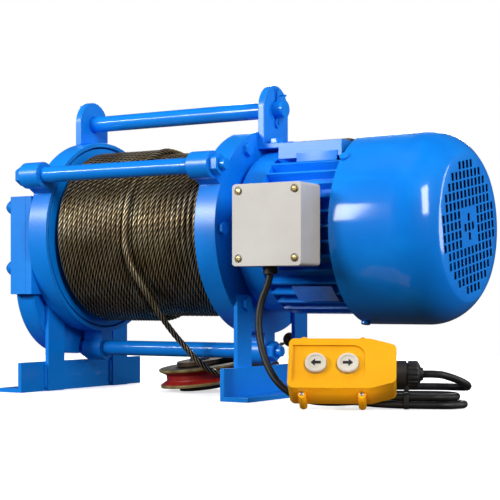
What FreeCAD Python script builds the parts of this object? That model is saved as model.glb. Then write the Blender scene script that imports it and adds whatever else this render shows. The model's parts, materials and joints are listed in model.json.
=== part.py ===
"""Electric wire-rope hoist: ring brackets, rope drum, gear train, motor, hook block and pendant.

Millimetres. The origin is the centre of the foot bolt pattern on the floor, +X runs along the
drum towards the motor, -Y is the front with the terminal box, and +Z is up.
"""
import FreeCAD
import Part
import Sketcher
import math
import os

from FreeCAD import Placement, Rotation, Vector

doc = FreeCAD.newDocument("ElectricHoist")
sheet = doc.addObject("Spreadsheet::Sheet", "Sizes")

# Driving dimensions, one cell each
SIZES = {
    # frame
    "axis_height": 185, "ring_gap": 206, "ring_width": 27, "ring_radius": 115, "ring_wall": 5,
    "plate_wall": 8, "rod_circle": 135, "rod_radius": 9, "stud_radius": 6, "stud_clearance": 0.2,
    "boss_radius": 15, "web_width": 22, "nut_flats": 20, "nut_height": 9, "stud_reach": 16,
    "leg_wall": 5, "leg_width": 30, "leg_spread": 126, "leg_drop": 71, "angle_size": 35,
    "angle_wall": 5, "foot_back": 113, "left_foot_front": 121, "right_foot_front": 113,
    "foot_hole_offset": 20, "foot_hole_spacing": 180, "foot_hole_radius": 6,
    # hanging bar
    "bar_rise": 139, "bar_radius": 9.5, "bar_reach": 12, "bar_clearance": 0.25, "lug_wall": 8,
    "lug_width": 54, "lug_foot": 30, "lug_foot_wall": 6, "lug_foot_rise": 92, "lug_bolt_pitch": 36,
    "split_pin_radius": 2, "split_pin_length": 34,
    # drum and its bearings
    "core_radius": 76, "core_wall": 6, "flange_radius": 108, "flange_wall": 6, "quill_radius": 25,
    "quill_bore": 16, "bearing_radius": 40, "bearing_width": 16, "hub_wall": 8, "running_fit": 0.05,
    "high_layer": 102, "low_layer": 96, "layer_step": -6, "winding_gap": 0.5, "turn_pitch": 7.3,
    "high_turns": 13, "low_turns": 15, "flange_gap": 1,
    # gear train
    "gear_module": 2, "pinion_teeth": 11, "wheel_teeth": 49, "tooth_width": 8, "gear_spacing": 1.5,
    "backlash": 0.16, "layshaft_tilt": 14.5, "case_gap": 6, "case_wall": 3, "cover_depth": 23,
    "cover_wall": 3.5, "axis_lobe": 62, "layshaft_lobe": 84, "block_front": 109, "block_back": 60,
    "block_low": 70, "block_high": 45, "layshaft_radius": 5, "lay_bearing_radius": 9,
    "lay_boss_wall": 1.5, "shaft_radius": 12.5, "shaft_end_radius": 6, "cover_bolt_radius": 9,
    "cover_bolt_reach": 15,
    # motor
    "shield_radius": 90, "shield_length": 37, "frame_radius": 82, "frame_bore": 72,
    "frame_length": 93, "fin_radius": 92, "fin_wall": 2.4, "fin_count": 36,
    "top_pad_inset": 8, "top_pad_width": 116, "top_pad_height": 93, "stator_bore": 45,
    "stator_length": 70, "air_gap": 0.5, "rotor_length": 72, "rear_wall": 8, "motor_bearing_radius": 26,
    "motor_bearing_width": 14, "fan_cover_radius": 103, "fan_cover_length": 112, "fan_cover_wall": 1.5,
    "fan_face_radius": 78, "fan_corner": 42, "fan_corner_radius": 52, "slot_width": 6,
    "slot_height": 8, "slot_pitch": 10, "slot_turn": 9.75, "fan_radius": 88, "fan_hub": 20,
    "fan_blade_wall": 2.5, "fan_blade_width": 30, "fan_blades": 7, "flange_bolt_circle": 103,
    "flange_bolt_radius": 6.5, "flange_bolt_head": 5.5, "cover_screw_radius": 5,
    # terminal box
    "box_length": 82, "box_height": 85, "box_base_depth": 26, "box_lid_depth": 14, "box_wall": 2.5,
    "box_left": 166, "box_front": 138, "box_bottom": 143, "box_screw_inset": 7.5, "box_screw_radius": 3.5,
    "box_corner": 4, "pad_margin": 6,
    # pendant
    "pendant_length": 105, "pendant_height": 54, "pendant_depth": 36, "pendant_split": 15,
    "pendant_wall": 3, "pendant_lean": 30, "pendant_yaw": 25, "pendant_left": 264, "pendant_front": 194,
    "pendant_round": 6, "pendant_straight": 80, "pendant_taper": 7, "panel_depth": 2, "panel_start": 4,
    "panel_length": 71, "panel_margin": 7.5, "panel_round": 12, "button_radius": 10.5,
    "button_pitch": 31.3, "button_gap": 0.4, "button_rise": 4, "button_start": 27, "ear_radius": 4,
    "ear_inset": -2.4, "ear_start": 14, "ear_pitch": 58, "ear_wall": 6, "gland_radius": 13,
    "gland_length": 26, "floor_gap": 0.3,
    # hook block, rope and cord
    "rope_radius": 3.5, "sheave_radius": 50, "sheave_groove": 42, "sheave_width": 22, "sheave_bore": 12,
    "bush_wall": 3, "block_tilt": 7, "block_turn": 55, "block_x": 22, "block_y": 22,
    "strap_wall": 5, "strap_width": 56, "strap_gap": 1, "strap_end": 13, "strap_length": 72,
    "crosshead_length": 22, "hook_radius": 9, "hook_bend": 25, "hook_shank": 12, "hook_collar": 4,
    "hook_nut": 7, "latch_pin_radius": 1.5, "latch_width": 9.8, "latch_length": 22.5, "latch_angle": 26,
    "cord_radius": 3.75, "hank_start": 42, "hank_length": 148, "hank_gap": 9, "hank_width": 54,
    "hank_height": 16,
}


class Size:
    """A length together with the sheet expression that gives it."""

    def __init__(self, text, value):
        self.text = text
        self.value = value

    def join(self, sign, other, value):
        return Size(f"({self.text} {sign} {other.text})", value)

    def __add__(self, other):
        other = as_size(other)
        return self.join("+", other, self.value + other.value)

    def __radd__(self, other):
        return as_size(other) + self

    def __sub__(self, other):
        other = as_size(other)
        return self.join("-", other, self.value - other.value)

    def __rsub__(self, other):
        return as_size(other) - self

    def __mul__(self, other):
        other = as_size(other)
        return self.join("*", other, self.value * other.value)

    def __rmul__(self, other):
        return as_size(other) * self

    def __truediv__(self, other):
        other = as_size(other)
        return self.join("/", other, self.value / other.value)

    def __neg__(self):
        return Size(f"(-{self.text})", -self.value)

    def __float__(self):
        return float(self.value)


def as_size(number):
    if isinstance(number, Size):
        return number
    return Size(f"({number})", float(number))


class Sheet:
    """Attribute access to the driving dimensions."""


S = Sheet()
for row, (alias, number) in enumerate(SIZES.items(), start=1):
    sheet.set(f"A{row}", alias)
    sheet.set(f"B{row}", str(number))
    sheet.setAlias(f"B{row}", alias)
    setattr(S, alias, Size(f"Sizes.{alias}", float(number)))
doc.recompute()

NODES = {}
UP = Vector(0, 0, 1)
ALONG_X = Rotation(Vector(0, 1, 0), 90)
TO_FRONT = Rotation(Vector(1, 0, 0), 90)
AXIS = (0, 0, S.axis_height)


def node(name, thing):
    """Keep a finished sub-part under its own name."""
    thing.Label = name
    NODES[name] = thing
    return thing


def bind(thing, **sizes):
    for prop, size in sizes.items():
        thing.setExpression(prop, as_size(size).text)


def place(thing, at, turn=None):
    """Put a thing at a point whose coordinates follow the sheet."""
    if turn is not None:
        thing.Placement = Placement(Vector(), turn)
    for letter, size in zip("xyz", at):
        thing.setExpression(f"Placement.Base.{letter}", as_size(size).text)
    return thing


def cylinder(name, radius, length, at, turn=ALONG_X):
    thing = doc.addObject("Part::Cylinder", name)
    bind(thing, Radius=radius, Height=length)
    return place(thing, at, turn)


def box(name, length, width, height, at):
    thing = doc.addObject("Part::Box", name)
    bind(thing, Length=length, Width=width, Height=height)
    return place(thing, at)


def hexagon(name, flats, length, at, turn=ALONG_X):
    """A hexagonal prism, given across its flats."""
    thing = doc.addObject("Part::Prism", name)
    thing.Polygon = 6
    bind(thing, Circumradius=as_size(flats) / math.sqrt(3), Height=length)
    return place(thing, at, turn)


def fuse(name, *things):
    thing = doc.addObject("Part::MultiFuse", name)
    thing.Shapes = list(things)
    thing.Refine = True
    return thing


def cut(name, base, *tools):
    thing = doc.addObject("Part::Cut", name)
    thing.Base = base
    thing.Tool = tools[0] if len(tools) == 1 else fuse(f"{name}_cuts", *tools)
    thing.Refine = True
    return thing


def group(name, *things):
    """Separate solids that share one node."""
    thing = doc.addObject("Part::Compound", name)
    thing.Links = list(things)
    return thing


def origin_plane(body, role):
    return next(item for item in body.Origin.OriginFeatures if item.Role == role)


def sketch(body, name, role, offset=0):
    """A sketch on one of the body's own planes, moved along that plane's normal."""
    thing = body.newObject("Sketcher::SketchObject", name)
    thing.AttachmentSupport = [(origin_plane(body, role), "")]
    thing.MapMode = "FlatFace"
    thing.setExpression("AttachmentOffset.Base.z", as_size(offset).text)
    return thing


def pin_down(drawing, kind, element, end, size):
    """Tie one coordinate of a sketch point to the sheet."""
    if float(size) == 0:
        line = -2 if kind == "DistanceX" else -1
        drawing.addConstraint(Sketcher.Constraint("PointOnObject", element, end, line))
        return
    index = drawing.addConstraint(Sketcher.Constraint(kind, -1, 1, element, end, float(size)))
    drawing.setExpression(f"Constraints[{index}]", as_size(size).text)


def outline(drawing, points):
    """A closed outline of straight runs through points that follow the sheet.

    A point with a third value starts an arc of that radius to the next point, which bulges to
    the left of the run where the radius is positive.
    """
    first = drawing.GeometryCount
    count = len(points)
    for index, point in enumerate(points):
        start = Vector(float(point[0]), float(point[1]))
        following = points[(index + 1) % count]
        end = Vector(float(following[0]), float(following[1]))
        if len(point) == 2:
            drawing.addGeometry(Part.LineSegment(start, end))
            continue
        radius = abs(float(point[2]))
        chord = end - start
        side = Vector(-chord.y, chord.x) * (math.copysign(1, float(point[2])) / chord.Length)
        rise = radius - math.sqrt(radius ** 2 - (chord.Length / 2) ** 2)
        drawing.addGeometry(Part.Arc(start, (start + end) / 2 + side * rise, end))
    for index, point in enumerate(points):
        element = first + index
        following = first + (index + 1) % count
        curved = len(point) == 3
        begin = start_end(drawing, element, Vector(float(point[0]), float(point[1])))
        target = points[(index + 1) % count]
        join = Vector(float(target[0]), float(target[1]))
        drawing.addConstraint(Sketcher.Constraint(
            "Coincident", element, start_end(drawing, element, join),
            following, start_end(drawing, following, join)))
        pin_down(drawing, "DistanceX", element, begin, point[0])
        pin_down(drawing, "DistanceY", element, begin, point[1])
        if curved:
            size = as_size(point[2])
            size = size if size.value > 0 else -size
            mark = drawing.addConstraint(Sketcher.Constraint("Radius", element, size.value))
            drawing.setExpression(f"Constraints[{mark}]", size.text)


def start_end(drawing, element, point):
    """Which end of a sketch element, first or second, lies at a point."""
    near = [(drawing.getPoint(element, end) - point).Length for end in (1, 2)]
    return 1 if near[0] <= near[1] else 2


def ring_mark(drawing, centre, radius):
    """A circle whose centre and radius follow the sheet."""
    spot = Vector(float(centre[0]), float(centre[1]))
    element = drawing.addGeometry(Part.Circle(spot, UP, float(radius)))
    pin_down(drawing, "DistanceX", element, 3, centre[0])
    pin_down(drawing, "DistanceY", element, 3, centre[1])
    mark = drawing.addConstraint(Sketcher.Constraint("Radius", element, float(radius)))
    drawing.setExpression(f"Constraints[{mark}]", as_size(radius).text)


def pad(body, name, drawing, length):
    thing = body.newObject("PartDesign::Pad", name)
    thing.Profile = drawing
    bind(thing, Length=length)
    return thing


def pocket(body, name, drawing, length, reverse=False):
    thing = body.newObject("PartDesign::Pocket", name)
    thing.Profile = drawing
    thing.Reversed = reverse
    bind(thing, Length=length)
    return thing


def around(body, name, originals, count, axis):
    """Repeat features evenly round an axis of the body."""
    thing = body.newObject("PartDesign::PolarPattern", name)
    thing.Originals = originals
    thing.Axis = (origin_plane(body, axis), [""])
    thing.Angle = 360
    bind(thing, Occurrences=count)
    body.Tip = thing
    return thing


def turned(name, points, at=AXIS):
    """A body turned about the X axis from an outline of (along, radius) points."""
    body = doc.addObject("PartDesign::Body", name)
    drawing = sketch(body, f"{name}_profile", "XY_Plane")
    outline(drawing, points)
    thing = body.newObject("PartDesign::Revolution", f"{name}_turn")
    thing.Profile = drawing
    thing.ReferenceAxis = (drawing, ["H_Axis"])
    thing.Angle = 360
    if at is not None:
        place(body, at)
    return body


def plate(name, points, thickness, role, offset=0, at=(0, 0, 0), holes=()):
    """A body padded from a flat outline, with round holes given as (centre, radius)."""
    body = doc.addObject("PartDesign::Body", name)
    drawing = sketch(body, f"{name}_outline", role, offset)
    outline(drawing, points)
    for centre, radius in holes:
        ring_mark(drawing, centre, radius)
    pad(body, f"{name}_pad", drawing, thickness)
    place(body, at)
    return body


def polar(radius, degrees):
    """A point round the drum axis as (across, up), with a fixed angle."""
    angle = math.radians(degrees)
    return as_size(radius) * round(math.cos(angle), 9), as_size(radius) * round(math.sin(angle), 9)


# Frame: two ring brackets, three tie rods, legs and feet

RING_IN = S.ring_gap / 2
RING_OUT = RING_IN + S.ring_width
PLATE_IN = RING_OUT - S.plate_wall
RING_BORE = S.ring_radius - S.ring_wall
ROD_ANGLES = {"bottom": 270, "front": 150, "rear": 30}
HUB_RADIUS = S.bearing_radius + S.hub_wall
CASE_BACK = RING_OUT + S.case_gap
BEARING_IN = S.ring_gap / 2 - S.bearing_width / 2
BAR_UP = S.axis_height + S.bar_rise
LUG_FOOT = S.axis_height + S.lug_foot_rise
LEG_TOP = S.axis_height - S.leg_drop


def bracket(name, profile, from_x):
    """A ring bracket: a turned cup with three bosses for the tie rods."""
    body = turned(name, profile)
    features = []
    low = -S.rod_circle
    web = sketch(body, f"{name}_web", "YZ_Plane", from_x)
    outline(web, [
        (-S.web_width / 2, low), (S.web_width / 2, low),
        (S.web_width / 2, -S.ring_radius + 3), (-S.web_width / 2, -S.ring_radius + 3)])
    features.append(pad(body, f"{name}_web_pad", web, S.ring_width))
    boss = sketch(body, f"{name}_boss", "YZ_Plane", from_x)
    ring_mark(boss, (0, low), S.boss_radius)
    features.append(pad(body, f"{name}_boss_pad", boss, S.ring_width))
    hole = sketch(body, f"{name}_stud_hole", "YZ_Plane", from_x)
    ring_mark(hole, (0, low), S.stud_radius + S.stud_clearance)
    features.append(pocket(body, f"{name}_stud_cut", hole, S.ring_width, reverse=True))
    around(body, f"{name}_three", features, 3, "X_Axis")
    return body


node("right_bracket", bracket("right_bracket", [
    (RING_IN, S.ring_radius), (RING_OUT, S.ring_radius), (RING_OUT, S.quill_bore),
    (BEARING_IN, S.quill_bore), (BEARING_IN, S.quill_radius),
    (BEARING_IN + S.bearing_width, S.quill_radius), (BEARING_IN + S.bearing_width, S.quill_radius + 4),
    (PLATE_IN, S.quill_radius + 10), (PLATE_IN, RING_BORE), (RING_IN, RING_BORE)], RING_IN))

node("left_bracket", bracket("left_bracket", [
    (-RING_IN, S.ring_radius), (-RING_OUT, S.ring_radius), (-RING_OUT, HUB_RADIUS),
    (-CASE_BACK, HUB_RADIUS), (-CASE_BACK, S.quill_radius + 2), (-RING_OUT, S.quill_radius + 2),
    (-RING_OUT, S.bearing_radius), (-RING_OUT + S.bearing_width, S.bearing_radius),
    (-RING_OUT + S.bearing_width, HUB_RADIUS), (-PLATE_IN, HUB_RADIUS), (-PLATE_IN, RING_BORE),
    (-RING_IN, RING_BORE)], -RING_OUT))

STUD_END = RING_OUT + S.stud_reach
NUT_END = RING_OUT + S.nut_height
rods = []
for place_name, degrees in ROD_ANGLES.items():
    across, up = polar(S.rod_circle, degrees)
    rods.append(turned(f"tie_rod_{place_name}", [
        (-NUT_END, 0), (STUD_END, 0), (STUD_END, S.stud_radius), (RING_IN, S.stud_radius),
        (RING_IN, S.rod_radius), (-RING_IN, S.rod_radius), (-RING_IN, S.stud_radius),
        (-NUT_END, S.stud_radius)], (0, across, S.axis_height + up)))
node("tie_rods", group("tie_rods", *rods))

nuts = []
for place_name, degrees in ROD_ANGLES.items():
    across, up = polar(S.rod_circle, degrees)
    for side, start in (("left", -RING_OUT - S.nut_height), ("right", RING_OUT)):
        blank = hexagon(f"nut_{place_name}_{side}", S.nut_flats, S.nut_height,
                        (start, across, S.axis_height + up))
        bore = cylinder(f"nut_bore_{place_name}_{side}", S.stud_radius + S.stud_clearance, S.nut_height,
                        (start, across, S.axis_height + up))
        nuts.append(cut(f"tie_nut_{place_name}_{side}", blank, bore))
node("tie_rod_nuts", group("tie_rod_nuts", *nuts))


def foot(name, face, outward, front):
    """A foot: an angle iron along Y whose floor flange points away from the drum."""
    body = doc.addObject("PartDesign::Body", name)
    drawing = sketch(body, f"{name}_section", "XZ_Plane", -S.foot_back)
    wall = S.angle_wall * outward
    outline(drawing, [
        (face, 0), (face + S.angle_size * outward, 0), (face + S.angle_size * outward, S.angle_wall),
        (face + wall, S.angle_wall), (face + wall, S.angle_size), (face, S.angle_size)])
    pad(body, f"{name}_pad", drawing, S.foot_back + front)
    holes = sketch(body, f"{name}_holes", "XY_Plane")
    for end in (-1, 1):
        ring_mark(holes, (face + S.foot_hole_offset * outward, S.foot_hole_spacing * (end / 2)),
                  S.foot_hole_radius)
    pocket(body, f"{name}_hole_cut", holes, S.angle_wall, reverse=True)
    return body


LEG_OUT = RING_OUT + S.leg_wall
node("left_foot", foot("left_foot", -LEG_OUT, -1, S.left_foot_front))
node("right_foot", foot("right_foot", LEG_OUT, 1, S.right_foot_front))

for side, start in (("left", -LEG_OUT), ("right", RING_OUT)):
    bars = [box(f"{side}_leg_{end}", S.leg_wall, S.leg_width, LEG_TOP,
                (start, S.leg_spread * sign / 2 - S.leg_width / 2, 0))
            for end, sign in (("front", -1), ("back", 1))]
    node(f"{side}_legs", group(f"{side}_legs", *bars))


# Hanging bar between two lugs on top of the rings

RING_TOP = S.axis_height + S.ring_radius


def lug(name, low, from_x):
    """A lug plate with a round top and a hole for the hanging bar."""
    stem = box(f"{name}_stem", S.lug_wall, S.lug_width, BAR_UP - low, (from_x, -S.lug_width / 2, low))
    crown = cylinder(f"{name}_crown", S.lug_width / 2, S.lug_wall, (from_x, 0, BAR_UP))
    eye = cylinder(f"{name}_eye", S.bar_radius + S.bar_clearance, S.lug_wall, (from_x, 0, BAR_UP))
    return cut(name, fuse(f"{name}_blank", stem, crown), eye)


node("left_lug", cut("left_lug", lug("left_lug_plate", RING_TOP - 8, -RING_OUT),
                     cylinder("left_lug_saddle", S.ring_radius, S.lug_wall, (-RING_OUT, 0, S.axis_height))))

right_plate = lug("right_lug_plate", LUG_FOOT, RING_OUT)
right_foot_plate = box("right_lug_foot", S.lug_foot, S.lug_width, S.lug_foot_wall,
                       (RING_OUT, -S.lug_width / 2, LUG_FOOT))
node("right_lug", fuse("right_lug", right_plate, right_foot_plate))

BAR_START = -RING_OUT - S.bar_reach
BAR_LENGTH = RING_OUT * 2 + S.lug_wall + S.bar_reach * 2
PIN_LEFT = -RING_OUT - S.bar_reach / 2
PIN_RIGHT = RING_OUT + S.lug_wall + S.bar_reach / 2
pin_holes = [cylinder(f"bar_hole_{side}", S.split_pin_radius + S.bar_clearance, S.bar_radius * 4,
                      (x, 0, BAR_UP - S.bar_radius * 2), Rotation())
             for side, x in (("left", PIN_LEFT), ("right", PIN_RIGHT))]
node("hanging_bar", cut("hanging_bar", cylinder(
    "bar_round", S.bar_radius, BAR_LENGTH, (BAR_START, 0, BAR_UP)), *pin_holes))

pins = []
for side, x in (("left", PIN_LEFT), ("right", PIN_RIGHT)):
    shank = cylinder(f"pin_shank_{side}", S.split_pin_radius, S.split_pin_length,
                     (x, 0, BAR_UP - S.split_pin_length / 2), Rotation())
    eye = doc.addObject("Part::Torus", f"pin_eye_{side}")
    bind(eye, Radius1=S.split_pin_radius * 2, Radius2=S.split_pin_radius * 0.75)
    place(eye, (x, 0, BAR_UP + S.split_pin_length / 2 + S.split_pin_radius * 1.5), ALONG_X)
    pins.append(fuse(f"split_pin_{side}", shank, eye))
node("split_pins", group("split_pins", *pins))


# Drum, rope winding and bearings

FLANGE_IN = RING_IN + S.flange_gap
FLANGE_OUT = FLANGE_IN + S.flange_wall
CORE_BORE = S.core_radius - S.core_wall
CASE_FRONT = CASE_BACK + S.case_wall
WHEEL_END = CASE_FRONT + S.flange_gap + S.tooth_width
PINION_START = WHEEL_END + S.gear_spacing
PINION_END = PINION_START + S.tooth_width

node("drum", turned("drum", [
    (-WHEEL_END, S.quill_bore), (-FLANGE_IN + S.flange_wall, S.quill_bore),
    (-FLANGE_IN + S.flange_wall, CORE_BORE), (BEARING_IN - S.flange_wall, CORE_BORE),
    (BEARING_IN - S.flange_wall, S.quill_radius + 3), (BEARING_IN - 1, S.quill_radius + 3),
    (BEARING_IN - 1, S.bearing_radius + S.running_fit), (FLANGE_OUT, S.bearing_radius + S.running_fit),
    (FLANGE_OUT, S.flange_radius), (FLANGE_IN, S.flange_radius), (FLANGE_IN, S.core_radius),
    (-FLANGE_IN, S.core_radius), (-FLANGE_IN, S.flange_radius), (-FLANGE_OUT, S.flange_radius),
    (-FLANGE_OUT, S.quill_radius - S.running_fit), (-WHEEL_END, S.quill_radius - S.running_fit)]))

WINDING_END = FLANGE_IN - S.winding_gap
HIGH_LINE = S.high_layer - S.rope_radius
LOW_LINE = S.low_layer - S.rope_radius
winding = [turned("winding_core", [
    (-WINDING_END, S.core_radius), (WINDING_END, S.core_radius), (WINDING_END, LOW_LINE),
    (S.layer_step, LOW_LINE), (S.layer_step, HIGH_LINE), (-WINDING_END, HIGH_LINE)])]


def rope_turn(name, x, line):
    """One turn of rope lying on the drum."""
    ring = doc.addObject("Part::Torus", name)
    bind(ring, Radius1=line, Radius2=S.rope_radius)
    place(ring, (x, 0, S.axis_height), ALONG_X)
    return ring


FIRST_TURN = WINDING_END - S.rope_radius
for index in range(int(float(S.high_turns))):
    winding.append(rope_turn(f"high_turn_{index}", S.turn_pitch * index - FIRST_TURN, HIGH_LINE))
for index in range(int(float(S.low_turns))):
    winding.append(rope_turn(f"low_turn_{index}", FIRST_TURN - S.turn_pitch * index, LOW_LINE))
node("rope_winding", fuse("rope_winding", *winding))


def bearing(name, bore, radius, start, width, at=AXIS):
    """A ball bearing with the shallow groove between its two rings."""
    middle = (bore + radius) / 2
    groove = (radius - bore) / 6
    end = start + width
    return turned(name, [
        (start, bore), (end, bore), (end, middle - groove), (end - width / 8, middle - groove),
        (end - width / 8, middle + groove), (end, middle + groove), (end, radius), (start, radius),
        (start, middle + groove), (start + width / 8, middle + groove),
        (start + width / 8, middle - groove), (start, middle - groove)], at)


node("drum_bearings", group(
    "drum_bearings",
    bearing("drum_bearing_right", S.quill_radius, S.bearing_radius, BEARING_IN, S.bearing_width),
    bearing("drum_bearing_left", S.quill_radius, S.bearing_radius, -RING_OUT, S.bearing_width)))


# Gear train: motor pinion, layshaft with its wheel and pinion, drum wheel

CENTRES = S.gear_module * (S.pinion_teeth + S.wheel_teeth) / 2
TILT = math.radians(float(S.layshaft_tilt))
LAY_ACROSS = CENTRES * -round(math.sin(TILT), 9)
LAY_UP = CENTRES * -round(math.cos(TILT), 9)
LAY_AXIS = (0, LAY_ACROSS, S.axis_height + LAY_UP)
LAY_ANGLE = 270 - float(S.layshaft_tilt)
PRESSURE_ANGLE = math.radians(20)
TOOTH_SHIFT = 0.35
ROOT_DEPTH = 1.25
AXLE_TURN = Rotation(Vector(1, 1, 1), 120)


def involute(angle):
    return math.tan(angle) - angle


def tooth_outline(teeth, shift, turn):
    """Edges of a spur gear's outline, with one tooth centred at the angle turn."""
    module = float(S.gear_module)
    pitch = module * teeth / 2
    base = pitch * math.cos(PRESSURE_ANGLE)
    tip = pitch + module * (1 + shift)
    root = pitch - module * (ROOT_DEPTH - shift)
    thickness = module * (math.pi / 2 + 2 * shift * math.tan(PRESSURE_ANGLE)) - float(S.backlash)
    half_pitch = thickness / (2 * pitch) + involute(PRESSURE_ANGLE)

    def spot(radius, angle):
        return Vector(radius * math.cos(angle), radius * math.sin(angle))

    def flank(radius):
        return half_pitch - involute(math.acos(min(1, base / radius)))

    start = max(base, root)
    middle = (start + tip) / 2
    edges = []
    for tooth in range(teeth):
        centre = turn + tooth * 2 * math.pi / teeth
        following = centre + 2 * math.pi / teeth
        rising = [spot(radius, centre - flank(radius)) for radius in (start, middle, tip)]
        falling = [spot(radius, centre + flank(radius)) for radius in (tip, middle, start)]
        foot = spot(root, centre - flank(start))
        heel = spot(root, centre + flank(start))
        edges.append(Part.LineSegment(foot, rising[0]))
        edges.append(Part.Arc(*rising))
        edges.append(Part.Arc(rising[2], spot(tip, centre), falling[0]))
        edges.append(Part.Arc(*falling))
        edges.append(Part.LineSegment(falling[2], heel))
        edges.append(Part.Arc(heel, spot(root, (centre + following) / 2),
                              spot(root, following - flank(start))))
    return [edge.toShape() for edge in edges]


def spur_gear(name, teeth, shift, turn, start, centre, bore=None):
    """A spur gear along X from start, whose tooth sizes come from the sheet."""
    thing = doc.addObject("Part::Feature", name)
    face = Part.Face(Part.Wire(tooth_outline(teeth, shift, math.radians(turn))))
    thing.Shape = face.extrude(UP * float(S.tooth_width))
    place(thing, (start, centre[1], centre[2]), AXLE_TURN)
    if bore is None:
        return thing
    hole = cylinder(f"{name}_bore", bore, S.tooth_width, (start, centre[1], centre[2]))
    return cut(f"{name}_bored", thing, hole)


SMALL = int(S.pinion_teeth.value)
LARGE = int(S.wheel_teeth.value)
HALF_SPACE = 180 / LARGE
node("drum_gear", spur_gear("drum_wheel", LARGE, -TOOTH_SHIFT, LAY_ANGLE + HALF_SPACE,
                            -WHEEL_END, AXIS, S.quill_radius - S.running_fit))
node("input_pinion", spur_gear("motor_pinion", SMALL, TOOTH_SHIFT, LAY_ANGLE,
                               -PINION_END, AXIS, S.shaft_end_radius))
LAY_HUB = S.layshaft_radius + 2.5
node("layshaft_gear", spur_gear("lay_wheel", LARGE, -TOOTH_SHIFT, LAY_ANGLE + 180 + HALF_SPACE,
                                -PINION_END, LAY_AXIS, LAY_HUB))
COVER_OUT = CASE_FRONT + S.cover_depth
COVER_IN = COVER_OUT - S.cover_wall
LAY_BEARING = S.case_gap
LAY_END = COVER_IN + LAY_BEARING
LAY_START = CASE_FRONT - LAY_BEARING
lay_pinion = spur_gear("lay_pinion", SMALL, TOOTH_SHIFT, LAY_ANGLE + 180, -WHEEL_END, LAY_AXIS)
lay_journal = cylinder("lay_journal", S.layshaft_radius - S.running_fit, LAY_END - LAY_START,
                       (-LAY_END, LAY_AXIS[1], LAY_AXIS[2]))
lay_hub = cylinder("lay_hub", LAY_HUB, COVER_IN - CASE_FRONT - S.flange_gap,
                   (-COVER_IN + S.flange_gap / 2, LAY_AXIS[1], LAY_AXIS[2]))
node("layshaft", fuse("layshaft", lay_journal, lay_hub, lay_pinion))
node("layshaft_bearings", group(
    "layshaft_bearings",
    bearing("lay_bearing_case", S.layshaft_radius, S.lay_bearing_radius, -CASE_FRONT, LAY_BEARING, LAY_AXIS),
    bearing("lay_bearing_cover", S.layshaft_radius, S.lay_bearing_radius, -LAY_END, LAY_BEARING, LAY_AXIS)))


def case_blank(name, start, length, inset=0):
    """The gear case outline: a lobe round each axis and a block at the front."""
    lobe = cylinder(f"{name}_axis_lobe", S.axis_lobe - inset, length, (-start, 0, S.axis_height))
    low = cylinder(f"{name}_lay_lobe", S.layshaft_lobe - inset, length,
                   (-start, LAY_AXIS[1], LAY_AXIS[2]))
    block = box(f"{name}_block", length, S.block_front - inset, S.block_low + S.block_high - inset * 2,
                (-start, -S.block_front + inset, S.axis_height - S.block_low + inset))
    return fuse(name, lobe, low, block)


LAY_BOSS = S.lay_bearing_radius + S.lay_boss_wall
case_plate = case_blank("case_plate", CASE_FRONT, S.case_wall)
case_boss = cylinder("case_boss", LAY_BOSS, LAY_BEARING, (-CASE_FRONT, LAY_AXIS[1], LAY_AXIS[2]))
case_foot = box("case_foot", S.case_gap + S.case_wall, S.block_front - S.block_back,
                S.block_high + S.block_low, (-CASE_FRONT, -S.block_front, S.axis_height - S.block_low))
node("gear_case", cut(
    "gear_case", fuse("case_solid", case_plate, case_boss, case_foot),
    cylinder("case_nut_hole", S.nut_flats * 0.65, S.case_wall,
             (-CASE_FRONT, 0, S.axis_height - S.rod_circle)),
    cylinder("case_quill_hole", S.quill_radius + 1, S.case_wall, (-CASE_FRONT, 0, S.axis_height)),
    cylinder("case_bearing_seat", S.lay_bearing_radius, LAY_BEARING,
             (-CASE_FRONT, LAY_AXIS[1], LAY_AXIS[2]))))
cover_blank = case_blank("cover_blank", COVER_OUT, S.cover_depth)
cover_boss = cylinder("cover_boss", LAY_BOSS, LAY_END + 2 - COVER_IN,
                      (-LAY_END - 2, LAY_AXIS[1], LAY_AXIS[2]))
cover_hollow = case_blank("cover_hollow", COVER_IN, COVER_IN - CASE_FRONT, S.cover_wall)
cover_seat = cylinder("cover_seat", S.lay_bearing_radius, LAY_BEARING, (-LAY_END, LAY_AXIS[1], LAY_AXIS[2]))
node("gear_cover", cut("gear_cover", fuse("cover_solid", cover_blank, cover_boss), cover_hollow, cover_seat))

BOLT_SPOTS = {
    "upper": (-99, 33), "lower": (-99, -39), "top": (0, 52), "bottom": (-20, -132), "back": (58, -80),
}
domes = []
for spot_name, (across, up) in BOLT_SPOTS.items():
    head = turned(f"cover_bolt_{spot_name}", [
        (0, 0), (-S.cover_bolt_reach, 0, S.cover_bolt_reach * 1.6),
        (-S.cover_bolt_reach / 3, S.cover_bolt_radius), (0, S.cover_bolt_radius)],
        (-COVER_OUT, across, S.axis_height + up))
    domes.append(head)
node("gear_cover_bolts", group("gear_cover_bolts", *domes))


# Motor

SHIELD_END = RING_OUT + S.shield_length
FRAME_END = SHIELD_END + S.frame_length
REAR_END = FRAME_END + S.rear_wall
COVER_START = FRAME_END
FAN_END = COVER_START + S.fan_cover_length
MOTOR_BEARING_END = RING_OUT + S.motor_bearing_width

node("motor_end_shield", turned("motor_end_shield", [
    (RING_OUT, S.motor_bearing_radius), (RING_OUT, S.shield_radius - 12),
    (RING_OUT + 10, S.shield_radius), (SHIELD_END, S.shield_radius),
    (SHIELD_END, S.frame_bore + 2), (MOTOR_BEARING_END, S.frame_bore - 6),
    (MOTOR_BEARING_END, S.motor_bearing_radius)]))

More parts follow.
